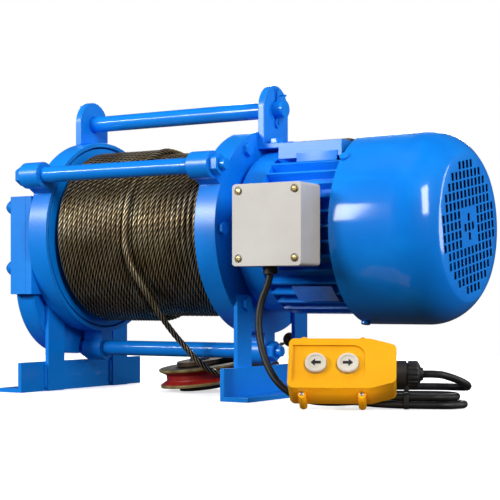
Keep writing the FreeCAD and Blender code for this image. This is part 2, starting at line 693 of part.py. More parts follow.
frame_body = turned("motor_frame", [
    (SHIELD_END, S.frame_bore), (FRAME_END, S.frame_bore), (FRAME_END, S.frame_radius),
    (SHIELD_END, S.frame_radius)])
fin_drawing = sketch(frame_body, "motor_fin_section", "YZ_Plane", SHIELD_END)
outline(fin_drawing, [
    (-S.fin_wall, S.frame_radius - 2), (S.fin_wall, S.frame_radius - 2),
    (S.fin_wall / 2, S.fin_radius), (-S.fin_wall / 2, S.fin_radius)])
fin = pad(frame_body, "motor_fin", fin_drawing, S.frame_length)
around(frame_body, "motor_fins", [fin], S.fin_count, "X_Axis")
top_pad = box("motor_top_pad", S.frame_length - S.top_pad_inset * 2, S.top_pad_width,
              S.top_pad_height - S.frame_bore - 4,
              (SHIELD_END + S.top_pad_inset, -S.top_pad_width / 2, S.axis_height + S.frame_bore + 4))
node("motor_frame", fuse("motor_frame_cast", frame_body, top_pad))

STATOR_START = SHIELD_END + (S.frame_length - S.stator_length) / 2
node("stator_core", turned("stator_core", [
    (STATOR_START, S.stator_bore), (STATOR_START + S.stator_length, S.stator_bore),
    (STATOR_START + S.stator_length, S.frame_bore), (STATOR_START, S.frame_bore)]))
ROTOR_START = SHIELD_END + (S.frame_length - S.rotor_length) / 2
node("rotor", turned("rotor", [
    (ROTOR_START, S.shaft_radius), (ROTOR_START + S.rotor_length, S.shaft_radius),
    (ROTOR_START + S.rotor_length, S.stator_bore - S.air_gap),
    (ROTOR_START, S.stator_bore - S.air_gap)]))

FAN_START = REAR_END + 16
FAN_HUB_END = FAN_START + S.fan_blade_width
node("motor_shaft", turned("motor_shaft", [
    (-PINION_END, 0), (FAN_HUB_END, 0), (FAN_HUB_END, S.shaft_radius),
    (-PINION_START + 0.5, S.shaft_radius), (-PINION_START + 0.5, S.shaft_end_radius),
    (-PINION_END, S.shaft_end_radius)]))
node("motor_bearings", group(
    "motor_bearings",
    bearing("motor_bearing_front", S.shaft_radius + S.running_fit, S.motor_bearing_radius, RING_OUT,
            S.motor_bearing_width),
    bearing("motor_bearing_rear", S.shaft_radius + S.running_fit, S.motor_bearing_radius,
            REAR_END - S.motor_bearing_width, S.motor_bearing_width)))
COVER_BORE = S.fan_cover_radius - S.fan_cover_wall
node("motor_rear_shield", turned("motor_rear_shield", [
    (REAR_END - S.motor_bearing_width, S.motor_bearing_radius), (REAR_END, S.motor_bearing_radius),
    (REAR_END, COVER_BORE), (FRAME_END, COVER_BORE), (FRAME_END, S.frame_bore - 6),
    (REAR_END - S.motor_bearing_width, S.motor_bearing_radius + 6)]))

fan_body = turned("fan", [
    (FAN_START, S.shaft_radius), (FAN_HUB_END, S.shaft_radius), (FAN_HUB_END, S.fan_hub),
    (FAN_START + 3, S.fan_hub + 4), (FAN_START + 3, S.fan_radius * 0.7),
    (FAN_START, S.fan_radius * 0.7)])
blade_drawing = sketch(fan_body, "fan_blade_section", "YZ_Plane", FAN_START)
outline(blade_drawing, [
    (-S.fan_blade_wall / 2, S.fan_hub - 3), (S.fan_blade_wall / 2, S.fan_hub - 3),
    (S.fan_blade_wall / 2, S.fan_radius), (-S.fan_blade_wall / 2, S.fan_radius)])
blade = pad(fan_body, "fan_blade", blade_drawing, S.fan_blade_width)
around(fan_body, "fan_wheel", [blade], S.fan_blades, "X_Axis")
node("fan", fan_body)

CORNER_START = FAN_END - S.fan_corner
wall = S.fan_cover_wall
cover_shell = turned("fan_cover_shell", [
    (COVER_START, COVER_BORE), (CORNER_START, COVER_BORE, S.fan_corner_radius),
    (FAN_END - wall, S.fan_face_radius - wall), (FAN_END - wall, 0), (FAN_END, 0),
    (FAN_END, S.fan_face_radius, -S.fan_corner_radius), (CORNER_START, S.fan_cover_radius),
    (COVER_START, S.fan_cover_radius)])
GRILLE_RADIUS = 67
GRILLE_GAP = 24


def grille_cutters():
    """Upright slots on a square grid, within a circle, and a cross of five in the bare middle."""
    pitch = float(S.slot_pitch)
    width = float(S.slot_width)
    height = float(S.slot_height)
    reach = int(GRILLE_RADIUS // pitch) + 1
    spots = [(0, 0), (pitch, 0), (-pitch, 0), (0, pitch), (0, -pitch)]
    for row in range(-reach, reach):
        for column in range(-reach, reach):
            spot = ((column + 0.5) * pitch, (row + 0.5) * pitch)
            if GRILLE_GAP < math.hypot(*spot) < GRILLE_RADIUS:
                spots.append(spot)
    slots = []
    for across, up in spots:
        corner = Vector(-float(wall) * 2, across - width / 2, up - height / 2)
        slots.append(Part.makeBox(float(wall) * 4, width, height, corner))
    thing = doc.addObject("Part::Feature", "fan_cover_slots")
    thing.Shape = Part.makeCompound(slots)
    return place(thing, (FAN_END, 0, S.axis_height), Rotation(Vector(1, 0, 0), float(S.slot_turn)))


node("fan_cover", cut("fan_cover", cover_shell, grille_cutters()))

screws = []
for angle in (16, 136, 256):
    across, up = polar(S.fan_cover_radius, angle)
    aim = Rotation(UP, Vector(0, math.cos(math.radians(angle)), math.sin(math.radians(angle))))
    screws.append(cylinder(f"cover_screw_{angle}", S.cover_screw_radius, 3,
                           (COVER_START + S.rear_wall / 2, across, S.axis_height + up), aim))
node("fan_cover_screws", group("fan_cover_screws", *screws))

FLANGE_BOLTS = [
    (0, RING_OUT), (60, RING_OUT), (120, RING_OUT), (180, RING_OUT), (232, LEG_OUT), (308, LEG_OUT),
]
heads = []
for degrees, face in FLANGE_BOLTS:
    across, up = polar(S.flange_bolt_circle, degrees)
    heads.append(hexagon(f"flange_bolt_{degrees}", S.flange_bolt_radius * 2, S.flange_bolt_head,
                         (face, across, S.axis_height + up)))
LUG_BOLT_X = RING_OUT + S.lug_wall + (S.lug_foot - S.lug_wall) / 2
for side, sign in (("front", -1), ("rear", 1)):
    heads.append(hexagon(f"lug_bolt_{side}", S.flange_bolt_radius * 2, S.flange_bolt_head,
                         (LUG_BOLT_X, S.lug_bolt_pitch * sign / 2, LUG_FOOT + S.lug_foot_wall),
                         Rotation()))
node("hex_bolts", group("hex_bolts", *heads))


# Terminal box on the front of the motor

BOX_BACK = S.box_front - S.box_lid_depth - S.box_base_depth
BOX_SPLIT = S.box_front - S.box_lid_depth
pad_block = box("box_pad_block", S.box_length - S.pad_margin * 2, S.shield_radius,
                S.box_height - S.pad_margin * 2,
                (S.box_left + S.pad_margin, -BOX_BACK, S.box_bottom + S.pad_margin))
node("terminal_box_pad", cut("terminal_box_pad", pad_block, cylinder(
    "box_pad_saddle", S.fin_radius + S.stud_clearance, S.frame_length * 2, (RING_OUT, 0, S.axis_height))))


def box_half(name, front, depth, open_front):
    """One half of the terminal box, hollow and open at the joint."""
    block = box(f"{name}_block", S.box_length, depth, S.box_height, (S.box_left, -front, S.box_bottom))
    rounded = doc.addObject("Part::Fillet", f"{name}_rounded")
    rounded.Base = block
    doc.recompute()
    upright = [index for index, edge in enumerate(block.Shape.Edges, start=1)
               if abs(edge.tangentAt(edge.FirstParameter).y) > 0.9]
    rounded.Edges = [(index, float(S.box_corner), float(S.box_corner)) for index in upright]
    start = front if open_front else front - S.box_wall
    hollow = box(f"{name}_hollow", S.box_length - S.box_wall * 2, depth - S.box_wall,
                 S.box_height - S.box_wall * 2, (S.box_left + S.box_wall, -start, S.box_bottom + S.box_wall))
    return cut(name, rounded, hollow)


node("terminal_box_base", box_half("terminal_box_base", BOX_SPLIT, S.box_base_depth, True))
lid_shell = box_half("terminal_box_lid_shell", S.box_front, S.box_lid_depth, False)
lid_screws = []
recesses = []
for across_name, x in (("left", S.box_left + S.box_screw_inset),
                       ("right", S.box_left + S.box_length - S.box_screw_inset)):
    for up_name, z in (("low", S.box_bottom + S.box_screw_inset),
                       ("high", S.box_bottom + S.box_height - S.box_screw_inset)):
        recesses.append(cylinder(f"lid_recess_{across_name}_{up_name}", S.box_screw_radius + 2, 1,
                                 (x, -S.box_front + 1, z), TO_FRONT))
        lid_screws.append(cylinder(f"lid_screw_{across_name}_{up_name}", S.box_screw_radius, 1.5,
                                   (x, -S.box_front + 1, z), TO_FRONT))
node("terminal_box_lid", cut("terminal_box_lid", lid_shell, *recesses))
node("terminal_box_screws", group("terminal_box_screws", *lid_screws))


# Hook block, lying on the floor under the drum

def set_in(thing, frame, turn=None):
    """Move a finished part into a tilted frame."""
    thing.Placement = frame * Placement(Vector(), turn or Rotation())
    return thing


STRAP_IN = S.sheave_width / 2 + S.strap_gap
STRAP_OUT = STRAP_IN + S.strap_wall
HALF_SHEAVE = S.sheave_width / 2
PIN_RADIUS = S.sheave_bore - S.bush_wall
TRUNNION = S.hook_shank * 0.6
lean = math.radians(float(S.block_tilt))
BLOCK_HEIGHT = (float(STRAP_OUT) * math.cos(lean) + float(S.strap_width) / 2 * math.sin(lean)
                + float(S.floor_gap))
BLOCK = Placement(
    Vector(float(S.block_x), float(S.block_y), BLOCK_HEIGHT),
    Rotation(UP, float(S.block_turn)) * Rotation(Vector(0, 1, 0), -float(S.block_tilt)))
X_TO_Z = Rotation(Vector(0, 1, 0), -90)


def block_part(name, points):
    """A turned part on the sheave's axis."""
    return node(name, set_in(turned(name, points, None), BLOCK, X_TO_Z))


block_part("sheave", [
    (-HALF_SHEAVE, S.sheave_bore), (HALF_SHEAVE, S.sheave_bore), (HALF_SHEAVE, S.sheave_radius),
    (HALF_SHEAVE - 3, S.sheave_radius), (S.rope_radius, S.sheave_groove),
    (-S.rope_radius, S.sheave_groove), (-HALF_SHEAVE + 3, S.sheave_radius),
    (-HALF_SHEAVE, S.sheave_radius)])
block_part("sheave_bush", [
    (-HALF_SHEAVE, PIN_RADIUS), (HALF_SHEAVE, PIN_RADIUS), (HALF_SHEAVE, S.sheave_bore),
    (-HALF_SHEAVE, S.sheave_bore)])
block_part("sheave_pin", [
    (-STRAP_OUT, 0), (STRAP_OUT + 3, 0), (STRAP_OUT + 3, PIN_RADIUS + 3), (STRAP_OUT, PIN_RADIUS + 3),
    (STRAP_OUT, PIN_RADIUS - S.running_fit), (-STRAP_OUT, PIN_RADIUS - S.running_fit)])

for side, low in (("lower", -STRAP_OUT), ("upper", STRAP_IN)):
    half = S.strap_width / 2
    stem = plate(f"strap_stem_{side}", [
        (0, -half), (S.strap_length, -S.strap_end), (S.strap_length, S.strap_end), (0, half)],
        S.strap_wall, "XY_Plane", low)
    ends = [cylinder(f"strap_end_{side}_{end}", radius, S.strap_wall, (x, 0, low), Rotation())
            for end, x, radius in (("near", 0, half), ("far", S.strap_length, S.strap_end))]
    holes = [cylinder(f"strap_hole_{side}_{end}", radius, S.strap_wall, (x, 0, low), Rotation())
             for end, x, radius in (("pin", 0, PIN_RADIUS), ("trunnion", S.strap_length, TRUNNION))]
    strap = cut(f"block_strap_{side}", fuse(f"strap_{side}", stem, *ends), *holes)
    node(f"block_strap_{side}", set_in(strap, BLOCK))

cross_block = box("cross_block", S.crosshead_length, S.crosshead_length, STRAP_IN * 2 - 1,
                  (S.strap_length - S.crosshead_length / 2, -S.crosshead_length / 2, -STRAP_IN + 0.5))
cross_trunnion = cylinder("cross_trunnion", TRUNNION, STRAP_OUT * 2,
                          (S.strap_length, 0, -STRAP_OUT), Rotation())
cross_bore = cylinder("cross_bore", S.hook_shank / 2 + S.running_fit, S.crosshead_length * 2,
                      (S.strap_length - S.crosshead_length, 0, 0))
cross_solid = fuse("cross_solid", cross_block, cross_trunnion)
node("crosshead", set_in(cut("crosshead", cross_solid, cross_bore), BLOCK))

# The hook stands on its edge, its bowl just clear of the floor
HOOK_GAP = 0.5
CROSS_END = S.strap_length + S.crosshead_length / 2
BOWL_CENTRE = CROSS_END + HOOK_GAP + S.hook_collar + S.hook_bend + S.hook_radius / 2
shank = cylinder("hook_stem", S.hook_shank / 2, S.crosshead_length + HOOK_GAP * 2 + S.hook_nut,
                 (S.strap_length - S.crosshead_length / 2 - HOOK_GAP - S.hook_nut, 0, 0))
collar = cylinder("hook_neck", S.hook_radius, S.hook_collar + S.hook_radius, (CROSS_END + HOOK_GAP, 0, 0))
bowl = doc.addObject("Part::Torus", "hook_bowl")
bind(bowl, Radius1=S.hook_bend, Radius2=S.hook_radius)
bowl.Angle3 = 262
place(bowl, (BOWL_CENTRE, 0, 0), Rotation(Vector(1, 0, 0), 90) * Rotation(UP, 180))
tip = doc.addObject("Part::Sphere", "hook_tip")
bind(tip, Radius=S.hook_radius)
place(tip, (BOWL_CENTRE - S.hook_bend * math.cos(math.radians(262)), 0,
            -S.hook_bend * math.sin(math.radians(262))))
PIVOT = CROSS_END + HOOK_GAP + S.hook_collar + 2.5
PIVOT_UP = S.hook_radius + 3
ear_block = box("hook_ear_block", 7, 6, 6, (PIVOT - 3.5, -3, PIVOT_UP - 6))
ear_round = cylinder("hook_ear", 3.5, 6, (PIVOT, 3, PIVOT_UP), TO_FRONT)
ear_hole = cylinder("hook_ear_hole", S.latch_pin_radius, 6, (PIVOT, 3, PIVOT_UP), TO_FRONT)
hook_solid = fuse("hook_solid", shank, collar, bowl, tip, ear_block, ear_round)
node("hook", set_in(cut("hook", hook_solid, ear_hole), BLOCK))
LATCH_PIN_LENGTH = S.latch_width + 1
latch_pin = cylinder("latch_pin", S.latch_pin_radius, LATCH_PIN_LENGTH,
                     (PIVOT, LATCH_PIN_LENGTH / 2, PIVOT_UP), TO_FRONT)
latch_pin_head = cylinder("latch_pin_head", S.latch_pin_radius + 1, 1,
                          (PIVOT, LATCH_PIN_LENGTH / 2 + 1, PIVOT_UP), TO_FRONT)
node("latch_pin", set_in(fuse("latch_pin_part", latch_pin, latch_pin_head), BLOCK))

# The latch, drawn along its own length from the pivot
LATCH = BLOCK * Placement(Vector(float(PIVOT), 0, float(PIVOT_UP)),
                          Rotation(Vector(0, 1, 0), -float(S.latch_angle)))
EAR_GAP = 0.3
EAR_WALL = S.latch_width / 2 - 3 - EAR_GAP
bar = box("latch_bar", S.latch_length - 4.2, S.latch_width, 2, (4.2, -S.latch_width / 2, -1))
latch_pieces = [bar]
for side, start in (("near", -S.latch_width / 2), ("far", 3 + EAR_GAP)):
    latch_pieces.append(box(f"latch_arm_{side}", 6, EAR_WALL, 2, (0, start, -1)))
    latch_pieces.append(cylinder(f"latch_ear_{side}", 3.2, EAR_WALL, (0, start + EAR_WALL, 0), TO_FRONT))
latch_hole = cylinder("latch_hole", S.latch_pin_radius + S.running_fit, S.latch_width,
                      (0, S.latch_width / 2, 0), TO_FRONT)
node("hook_latch", set_in(cut("hook_latch", fuse("latch_solid", *latch_pieces), latch_hole), LATCH))
nut_start = S.strap_length - S.crosshead_length / 2 - HOOK_GAP - S.hook_nut
nut_blank = hexagon("hook_nut_blank", S.hook_shank * 1.7, S.hook_nut, (nut_start, 0, 0))
nut_bore = cylinder("hook_nut_bore", S.hook_shank / 2, S.hook_nut, (nut_start, 0, 0))
node("hook_nut", set_in(cut("hook_nut", nut_blank, nut_bore), BLOCK))


# Rope tail and pendant cord: straight runs joined by tangent arcs

def cord_path(points):
    """The wire through a route's points, each corner rounded as far as its runs allow."""
    edges = []
    radii = []
    start = points[0]
    for before, corner, after in zip(points, points[1:], points[2:]):
        inward = (corner - before).normalize()
        outward = (after - corner).normalize()
        turn = inward.getAngle(outward)
        trim = 0.45 * min((corner - before).Length, (after - corner).Length)
        radii.append(trim / math.tan(turn / 2))
        arc_start = corner - inward * trim
        arc_end = corner + outward * trim
        bisector = (outward - inward).normalize()
        centre = corner + bisector * (radii[-1] / math.cos(turn / 2))
        edges.append(Part.LineSegment(start, arc_start).toShape())
        edges.append(Part.Arc(arc_start, centre - bisector * radii[-1], arc_end).toShape())
        start = arc_end
    edges.append(Part.LineSegment(start, points[-1]).toShape())
    return Part.Wire(edges), radii


def cord(name, radius, points):
    """A round cord along a route."""
    points = [Vector(*point) for point in points]
    wire, radii = cord_path(points)
    section = Part.Wire(Part.Circle(points[0], points[1] - points[0], float(radius)).toShape())
    thing = doc.addObject("Part::Feature", name)
    thing.Shape = wire.makePipeShell([section], True, False)
    full = math.pi * float(radius) ** 2 * wire.Length
    print(f"{name}: length {wire.Length:.0f}, radii {min(radii):.0f} to {max(radii):.0f}, "
          f"volume share {thing.Shape.Volume / full:.3f}")
    return thing


ROPE_LIFT = 0.4
TAIL_X = float(S.layer_step + S.rope_radius) + ROPE_LIFT
TAIL_RADIUS = float(S.low_layer + S.rope_radius) + ROPE_LIFT
WRAP_STEP = 24


def on_drum(degrees):
    """A corner of the route round the drum, outside the lower layer."""
    reach = TAIL_RADIUS / math.cos(math.radians(WRAP_STEP / 2))
    angle = math.radians(degrees)
    return TAIL_X, reach * math.cos(angle), float(S.axis_height) + reach * math.sin(angle)


def on_sheave(degrees, reach=1.0):
    """A corner of the route round the sheave's groove, in the block's frame."""
    radius = (float(S.sheave_groove + S.rope_radius) + ROPE_LIFT) * reach
    angle = math.radians(degrees)
    spot = BLOCK.multVec(Vector(radius * math.cos(angle), radius * math.sin(angle), 0))
    return spot.x, spot.y, spot.z


WRAP_OUT = 1 / math.cos(math.radians(15))
rope_route = [on_drum(degrees) for degrees in range(68, 200, WRAP_STEP)]
rope_route += [(2, -98, 152), (10, -91, 132), (18.5, -80, 111), (25, -63, 87), (30.5, -48, 69),
               (38, -36, 54), (45, -32, 44.5), (53, -29, 36), (60.5, -23, 28.5), (68.5, -9, 22.3)]
rope_route += [on_sheave(degrees, WRAP_OUT) for degrees in (-40, -10)]
ROPE_END = Vector(-22, 100.4, 8.8)
rope_route += [(28, 71.5, 25.9), (10.4, 81.7, 21.5), (-7, 91.7, 13.5), tuple(ROPE_END)]
node("rope_tail", cord("rope_tail", S.rope_radius, rope_route))
FERRULE_LENGTH = 20
FERRULE_LINE = Vector(-0.866, 0.5, 0)
ferrule = cylinder("ferrule_sleeve", S.rope_radius * 1.7, FERRULE_LENGTH, (0, 0, 0), Rotation())
ferrule_eye = doc.addObject("Part::Torus", "ferrule_eye")
bind(ferrule_eye, Radius1=S.rope_radius * 3, Radius2=S.rope_radius)
place(ferrule_eye, (0, 0, FERRULE_LENGTH + S.rope_radius * 3.5), TO_FRONT)
ferrule_part = fuse("rope_ferrule", ferrule, ferrule_eye)
ferrule_part.Placement = Placement(
    ROPE_END + FERRULE_LINE * 0.6, Rotation(UP.cross(FERRULE_LINE), UP, FERRULE_LINE, "ZYX"))
node("rope_ferrule", ferrule_part)


# Pendant control, leaning back behind its lower ears

PENDANT_LEAN = math.radians(float(S.pendant_lean))
EAR_DROP = float(S.ear_radius - S.ear_inset)
PENDANT = Placement(
    Vector(float(S.pendant_left), -float(S.pendant_front),
           float(S.pendant_depth) * math.sin(PENDANT_LEAN) + EAR_DROP * math.cos(PENDANT_LEAN)
           + float(S.floor_gap)),
    Rotation(UP, float(S.pendant_yaw)) * Rotation(Vector(1, 0, 0), 90 - float(S.pendant_lean)))
MIDDLE = S.pendant_height / 2
PANEL_BACK = -S.panel_depth - S.pendant_wall
GLAND_UP = -S.pendant_depth / 2 - 5
EARS = {
    "low_left": (S.ear_start, S.ear_inset),
    "low_right": (S.ear_start + S.ear_pitch, S.ear_inset),
    "high_left": (S.ear_start, S.pendant_height - S.ear_inset),
    "high_right": (S.ear_start + S.ear_pitch, S.pendant_height - S.ear_inset),
}


def pendant_plan(inset):
    """The housing's outline, which narrows towards the cord."""
    end = S.pendant_length - inset
    top = S.pendant_height - inset
    return [(inset, inset), (S.pendant_straight, inset), (end, S.pendant_taper + inset),
            (end, top - S.pendant_taper), (S.pendant_straight, top), (inset, top)]


def pendant_half(name, low, high, floor, roof, ear_top):
    """One half of the pendant housing with its ears, hollow between floor and roof."""
    block = plate(f"{name}_block", pendant_plan(as_size(0)), high - low, "XY_Plane", low)
    doc.recompute()
    upright = [index for index, edge in enumerate(block.Shape.Edges, start=1)
               if abs(edge.tangentAt(edge.FirstParameter).z) > 0.9]
    rounded = doc.addObject("Part::Fillet", f"{name}_rounded")
    rounded.Base = block
    rounded.Edges = [(index, float(S.pendant_round), float(S.pendant_round)) for index in upright]
    hollow = plate(f"{name}_hollow", pendant_plan(S.pendant_wall), roof - floor, "XY_Plane", floor)
    ears = [cylinder(f"{name}_ear_{spot}", S.ear_radius, ear_top - low, (x, y, low), Rotation())
            for spot, (x, y) in EARS.items()]
    return fuse(f"{name}_eared", cut(f"{name}_shell", rounded, hollow), *ears)


back_half = pendant_half("pendant_back", -S.pendant_depth, -S.pendant_split,
                         -S.pendant_depth + S.pendant_wall, -S.pendant_split, -S.pendant_split)
gland_hole = cylinder("gland_hole", S.cord_radius + 1, S.pendant_wall * 2,
                      (S.pendant_length - S.pendant_wall * 2, MIDDLE, GLAND_UP))
node("pendant_back", set_in(cut("pendant_back", back_half, gland_hole), PENDANT))
EAR_TOP = S.ear_wall - S.pendant_split
front_half = pendant_half("pendant_front", -S.pendant_split, 0, -S.pendant_split, PANEL_BACK, EAR_TOP)
panel_block = box("panel_block", S.panel_length, S.pendant_height - S.panel_margin * 2, S.panel_depth,
                  (S.panel_start, S.panel_margin, -S.panel_depth))
doc.recompute()
panel = doc.addObject("Part::Fillet", "panel_rounded")
panel.Base = panel_block
panel.Edges = [(index, float(S.panel_round), float(S.panel_round))
               for index, edge in enumerate(panel_block.Shape.Edges, start=1)
               if abs(edge.tangentAt(edge.FirstParameter).z) > 0.9
               and edge.CenterOfMass.x > float(S.panel_start + S.panel_length) - 1]
BUTTONS = {"left": S.button_start, "right": S.button_start + S.button_pitch}
button_holes = [cylinder(f"button_hole_{side}", S.button_radius + S.button_gap, S.pendant_depth,
                         (x, MIDDLE, PANEL_BACK), Rotation()) for side, x in BUTTONS.items()]
node("pendant_front", set_in(cut("pendant_front", front_half, panel, *button_holes), PENDANT))
BUTTON_SKIRT = 2
BUTTON_SKIRT_WALL = 3
for side, x in BUTTONS.items():
    cap = cylinder(f"button_cap_{side}", S.button_radius, S.button_rise - PANEL_BACK - S.panel_depth,
                   (x, MIDDLE, PANEL_BACK), Rotation())
    skirt = cylinder(f"button_skirt_{side}", S.button_radius + BUTTON_SKIRT, BUTTON_SKIRT_WALL,
                     (x, MIDDLE, PANEL_BACK - S.button_gap - BUTTON_SKIRT_WALL), Rotation())
    stem = cylinder(f"button_stem_{side}", S.button_radius - 1, 1,
                    (x, MIDDLE, PANEL_BACK - S.button_gap), Rotation())
    node(f"button_{side}", set_in(fuse(f"button_{side}", cap, skirt, stem), PENDANT))
EAR_SCREW = (2.2, 2)
ear_screws = [cylinder(f"pendant_screw_{spot}", EAR_SCREW[0], EAR_SCREW[1], (x, y, EAR_TOP), Rotation())
              for spot, (x, y) in EARS.items()]
node("pendant_screws", set_in(group("pendant_screws", *ear_screws), PENDANT))
gland = turned("pendant_gland", [
    (S.pendant_length, S.cord_radius), (S.pendant_length + S.gland_length, S.cord_radius),
    (S.pendant_length + S.gland_length, S.gland_radius * 0.6),
    (S.pendant_length + S.gland_length * 0.7, S.gland_radius),
    (S.pendant_length, S.gland_radius)], None)
gland.Placement = PENDANT * Placement(Vector(0, float(MIDDLE), float(GLAND_UP)), Rotation())
node("pendant_gland", gland)

# Box gland, cord down to the floor, spare cord in a hank and the last stretch into the pendant

BOX_GLAND = (202, -121)
BOX_GLAND_DROP = 8
box_gland = cut("box_gland", cylinder("box_gland_blank", S.cord_radius * 2, BOX_GLAND_DROP,
                                      (*BOX_GLAND, S.box_bottom - BOX_GLAND_DROP), Rotation()),
                cylinder("box_gland_bore", S.cord_radius, BOX_GLAND_DROP,
                         (*BOX_GLAND, S.box_bottom - BOX_GLAND_DROP), Rotation()))
node("box_gland", box_gland)
back_edge = PENDANT.multVec(Vector(0, 0, -float(S.pendant_depth)))
HANK = Placement(Vector(back_edge.x, back_edge.y, 0), Rotation(UP, float(S.pendant_yaw)))
HANK_TOP = float(S.floor_gap + S.hank_height + S.cord_radius) + 0.3


def beside_hank(along, across, up):
    """A point given along and across the hank."""
    spot = HANK.multVec(Vector(along, across, up))
    return spot.x, spot.y, spot.z


cord_down = cord("pendant_cord_down", S.cord_radius, [
    (*BOX_GLAND, float(S.box_bottom) - BOX_GLAND_DROP), (200, -122, 124), (193, -124, 108), (191, -127, 88),
    (195, -130, 66), (204, -134, 45), (217, -137, 27), (231, -135, 15), (244, -128, 7.5), (257, -117.5, 4.6),
    beside_hank(float(S.hank_start), 40, 4.3)])
mouth = PENDANT.multVec(Vector(float(S.pendant_length + S.gland_length), float(MIDDLE), float(GLAND_UP)))
cord_end = cord("pendant_cord_end", S.cord_radius, [
    tuple(mouth), beside_hank(146, -2, 37), beside_hank(162, 0, 34), beside_hank(177, 7, 29.5),
    beside_hank(187, 19, 25.5), beside_hank(189, 35, 22), beside_hank(183, 49, HANK_TOP + 0.2),
    beside_hank(171, 57, HANK_TOP), beside_hank(155, 58, HANK_TOP)])
node("pendant_cord", group("pendant_cord", cord_down, cord_end))
hank_bar = box("hank_bar", S.hank_length, S.hank_width, S.hank_height,
               (S.hank_start, S.hank_gap, S.floor_gap))
doc.recompute()
hank_round = doc.addObject("Part::Fillet", "hank_round")
hank_round.Base = hank_bar
hank_round.Edges = [(index, float(S.hank_width) / 2 - 0.5, float(S.hank_width) / 2 - 0.5)
                    for index, edge in enumerate(hank_bar.Shape.Edges, start=1)
                    if abs(edge.tangentAt(edge.FirstParameter).z) > 0.9]
node("cord_hank", set_in(group("cord_hank", hank_round), HANK))


def write_parts():
    """Check every object, then write each sub-part to its own file."""
    doc.recompute()
    bad = [thing.Name for thing in doc.Objects if {"Invalid", "Error"} & set(thing.State)]
    for name, thing in NODES.items():
        if thing.Shape.isNull() or not thing.Shape.isValid():
            bad.append(name)
    if bad:
        raise RuntimeError("failed: " + ", ".join(bad))
    os.makedirs("parts", exist_ok=True)
    for name, thing in NODES.items():
        thing.Shape.exportStep(f"parts/{name}.step")
    print(len(NODES), "parts")


write_parts()
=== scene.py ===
"""Finishes, rope, cord, lights and camera of an electric wire-rope hoist on its feet."""
import json
import math

import bmesh
import bpy
from mathutils import Matrix, Vector


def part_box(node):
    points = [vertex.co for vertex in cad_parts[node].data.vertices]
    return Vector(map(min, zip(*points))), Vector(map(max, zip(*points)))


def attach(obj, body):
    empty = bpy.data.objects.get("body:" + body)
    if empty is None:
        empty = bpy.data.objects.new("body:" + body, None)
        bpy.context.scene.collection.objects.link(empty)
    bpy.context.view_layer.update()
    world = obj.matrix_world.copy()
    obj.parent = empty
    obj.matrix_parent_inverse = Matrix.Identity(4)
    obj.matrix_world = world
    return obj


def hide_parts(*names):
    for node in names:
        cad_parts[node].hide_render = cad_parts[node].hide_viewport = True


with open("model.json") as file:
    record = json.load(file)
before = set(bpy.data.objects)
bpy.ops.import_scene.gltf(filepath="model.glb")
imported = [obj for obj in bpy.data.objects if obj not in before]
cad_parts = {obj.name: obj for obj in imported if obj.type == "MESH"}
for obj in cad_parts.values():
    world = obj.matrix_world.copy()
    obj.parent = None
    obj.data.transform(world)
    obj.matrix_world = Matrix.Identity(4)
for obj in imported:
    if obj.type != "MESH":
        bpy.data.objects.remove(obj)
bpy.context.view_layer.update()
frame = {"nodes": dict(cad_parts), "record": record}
NODES = frame["nodes"]

# The part's lengths are in millimetres, and MM turns them into metres.
MM = 0.001
AXIS_HEIGHT = 185.0
ROPE = 7.0
CORD = 7.5
FRAME_BODY = "hoist_frame"
DRUM_BODY = "drum_body"


def add_object(name, data):
    made = bpy.data.objects.new(name, data)
    bpy.context.scene.collection.objects.link(made)
    return made


# Camera and room, in metres

CAMERA_TURN = math.radians(31.6)
CAMERA_PLACE = (0.9253, -1.3366, 0.1082)
CAMERA_LENS = 98.5
CAMERA_SENSOR = 36.0
CAMERA_SHIFT = 0.1

camera_data = bpy.data.cameras.new("camera")
camera_data.lens = CAMERA_LENS
camera_data.sensor_width = CAMERA_SENSOR
camera_data.shift_y = CAMERA_SHIFT
camera = add_object("camera", camera_data)
camera.location = CAMERA_PLACE
camera.rotation_euler = (math.radians(90), 0, CAMERA_TURN)
bpy.context.scene.camera = camera


def area_light(name, place, target, size, power, colour=(1, 1, 1)):
    """A rectangular light that points from its place to its target."""
    data = bpy.data.lights.new(name, "AREA")
    data.shape = "RECTANGLE"
    data.size, data.size_y = size
    data.energy = power
    data.color = colour
    light = add_object(name, data)
    light.location = place
    aim = Vector(target) - Vector(place)
    light.rotation_euler = aim.to_track_quat("-Z", "Y").to_euler()
    return light


MIDDLE = (0.1, 0.0, 0.17)
DRUM_TOP = (0, 0, 0.25)
COVER_MIDDLE = (0.37, 0, 0.19)
top_light = area_light("light_top", (0.0, -0.3, 1.8), MIDDLE, (1.0, 0.8), 10)
top_light.visible_glossy = False
area_light("light_left", (-0.6, -1.46, 0.66), MIDDLE, (0.42, 0.5), 12)
area_light("light_strip", (-1.05, -1.35, 0.8), DRUM_TOP, (0.8, 0.16), 10)
area_light("light_right", (1.7, -0.85, 0.95), MIDDLE, (0.42, 0.9), 21)
area_light("light_side", (1.5, 0.7, 0.5), COVER_MIDDLE, (0.34, 1.0), 8)
area_light("light_back", (-0.55, 1.6, 0.95), MIDDLE, (0.8, 0.7), 16)

bpy.context.scene.view_settings.view_transform = "Standard"

ROOM_WHITE = (1, 1, 1, 1)
ROOM_CAST = (1, 0.98, 0.95, 1)
ROOM_STRENGTH = 0.04


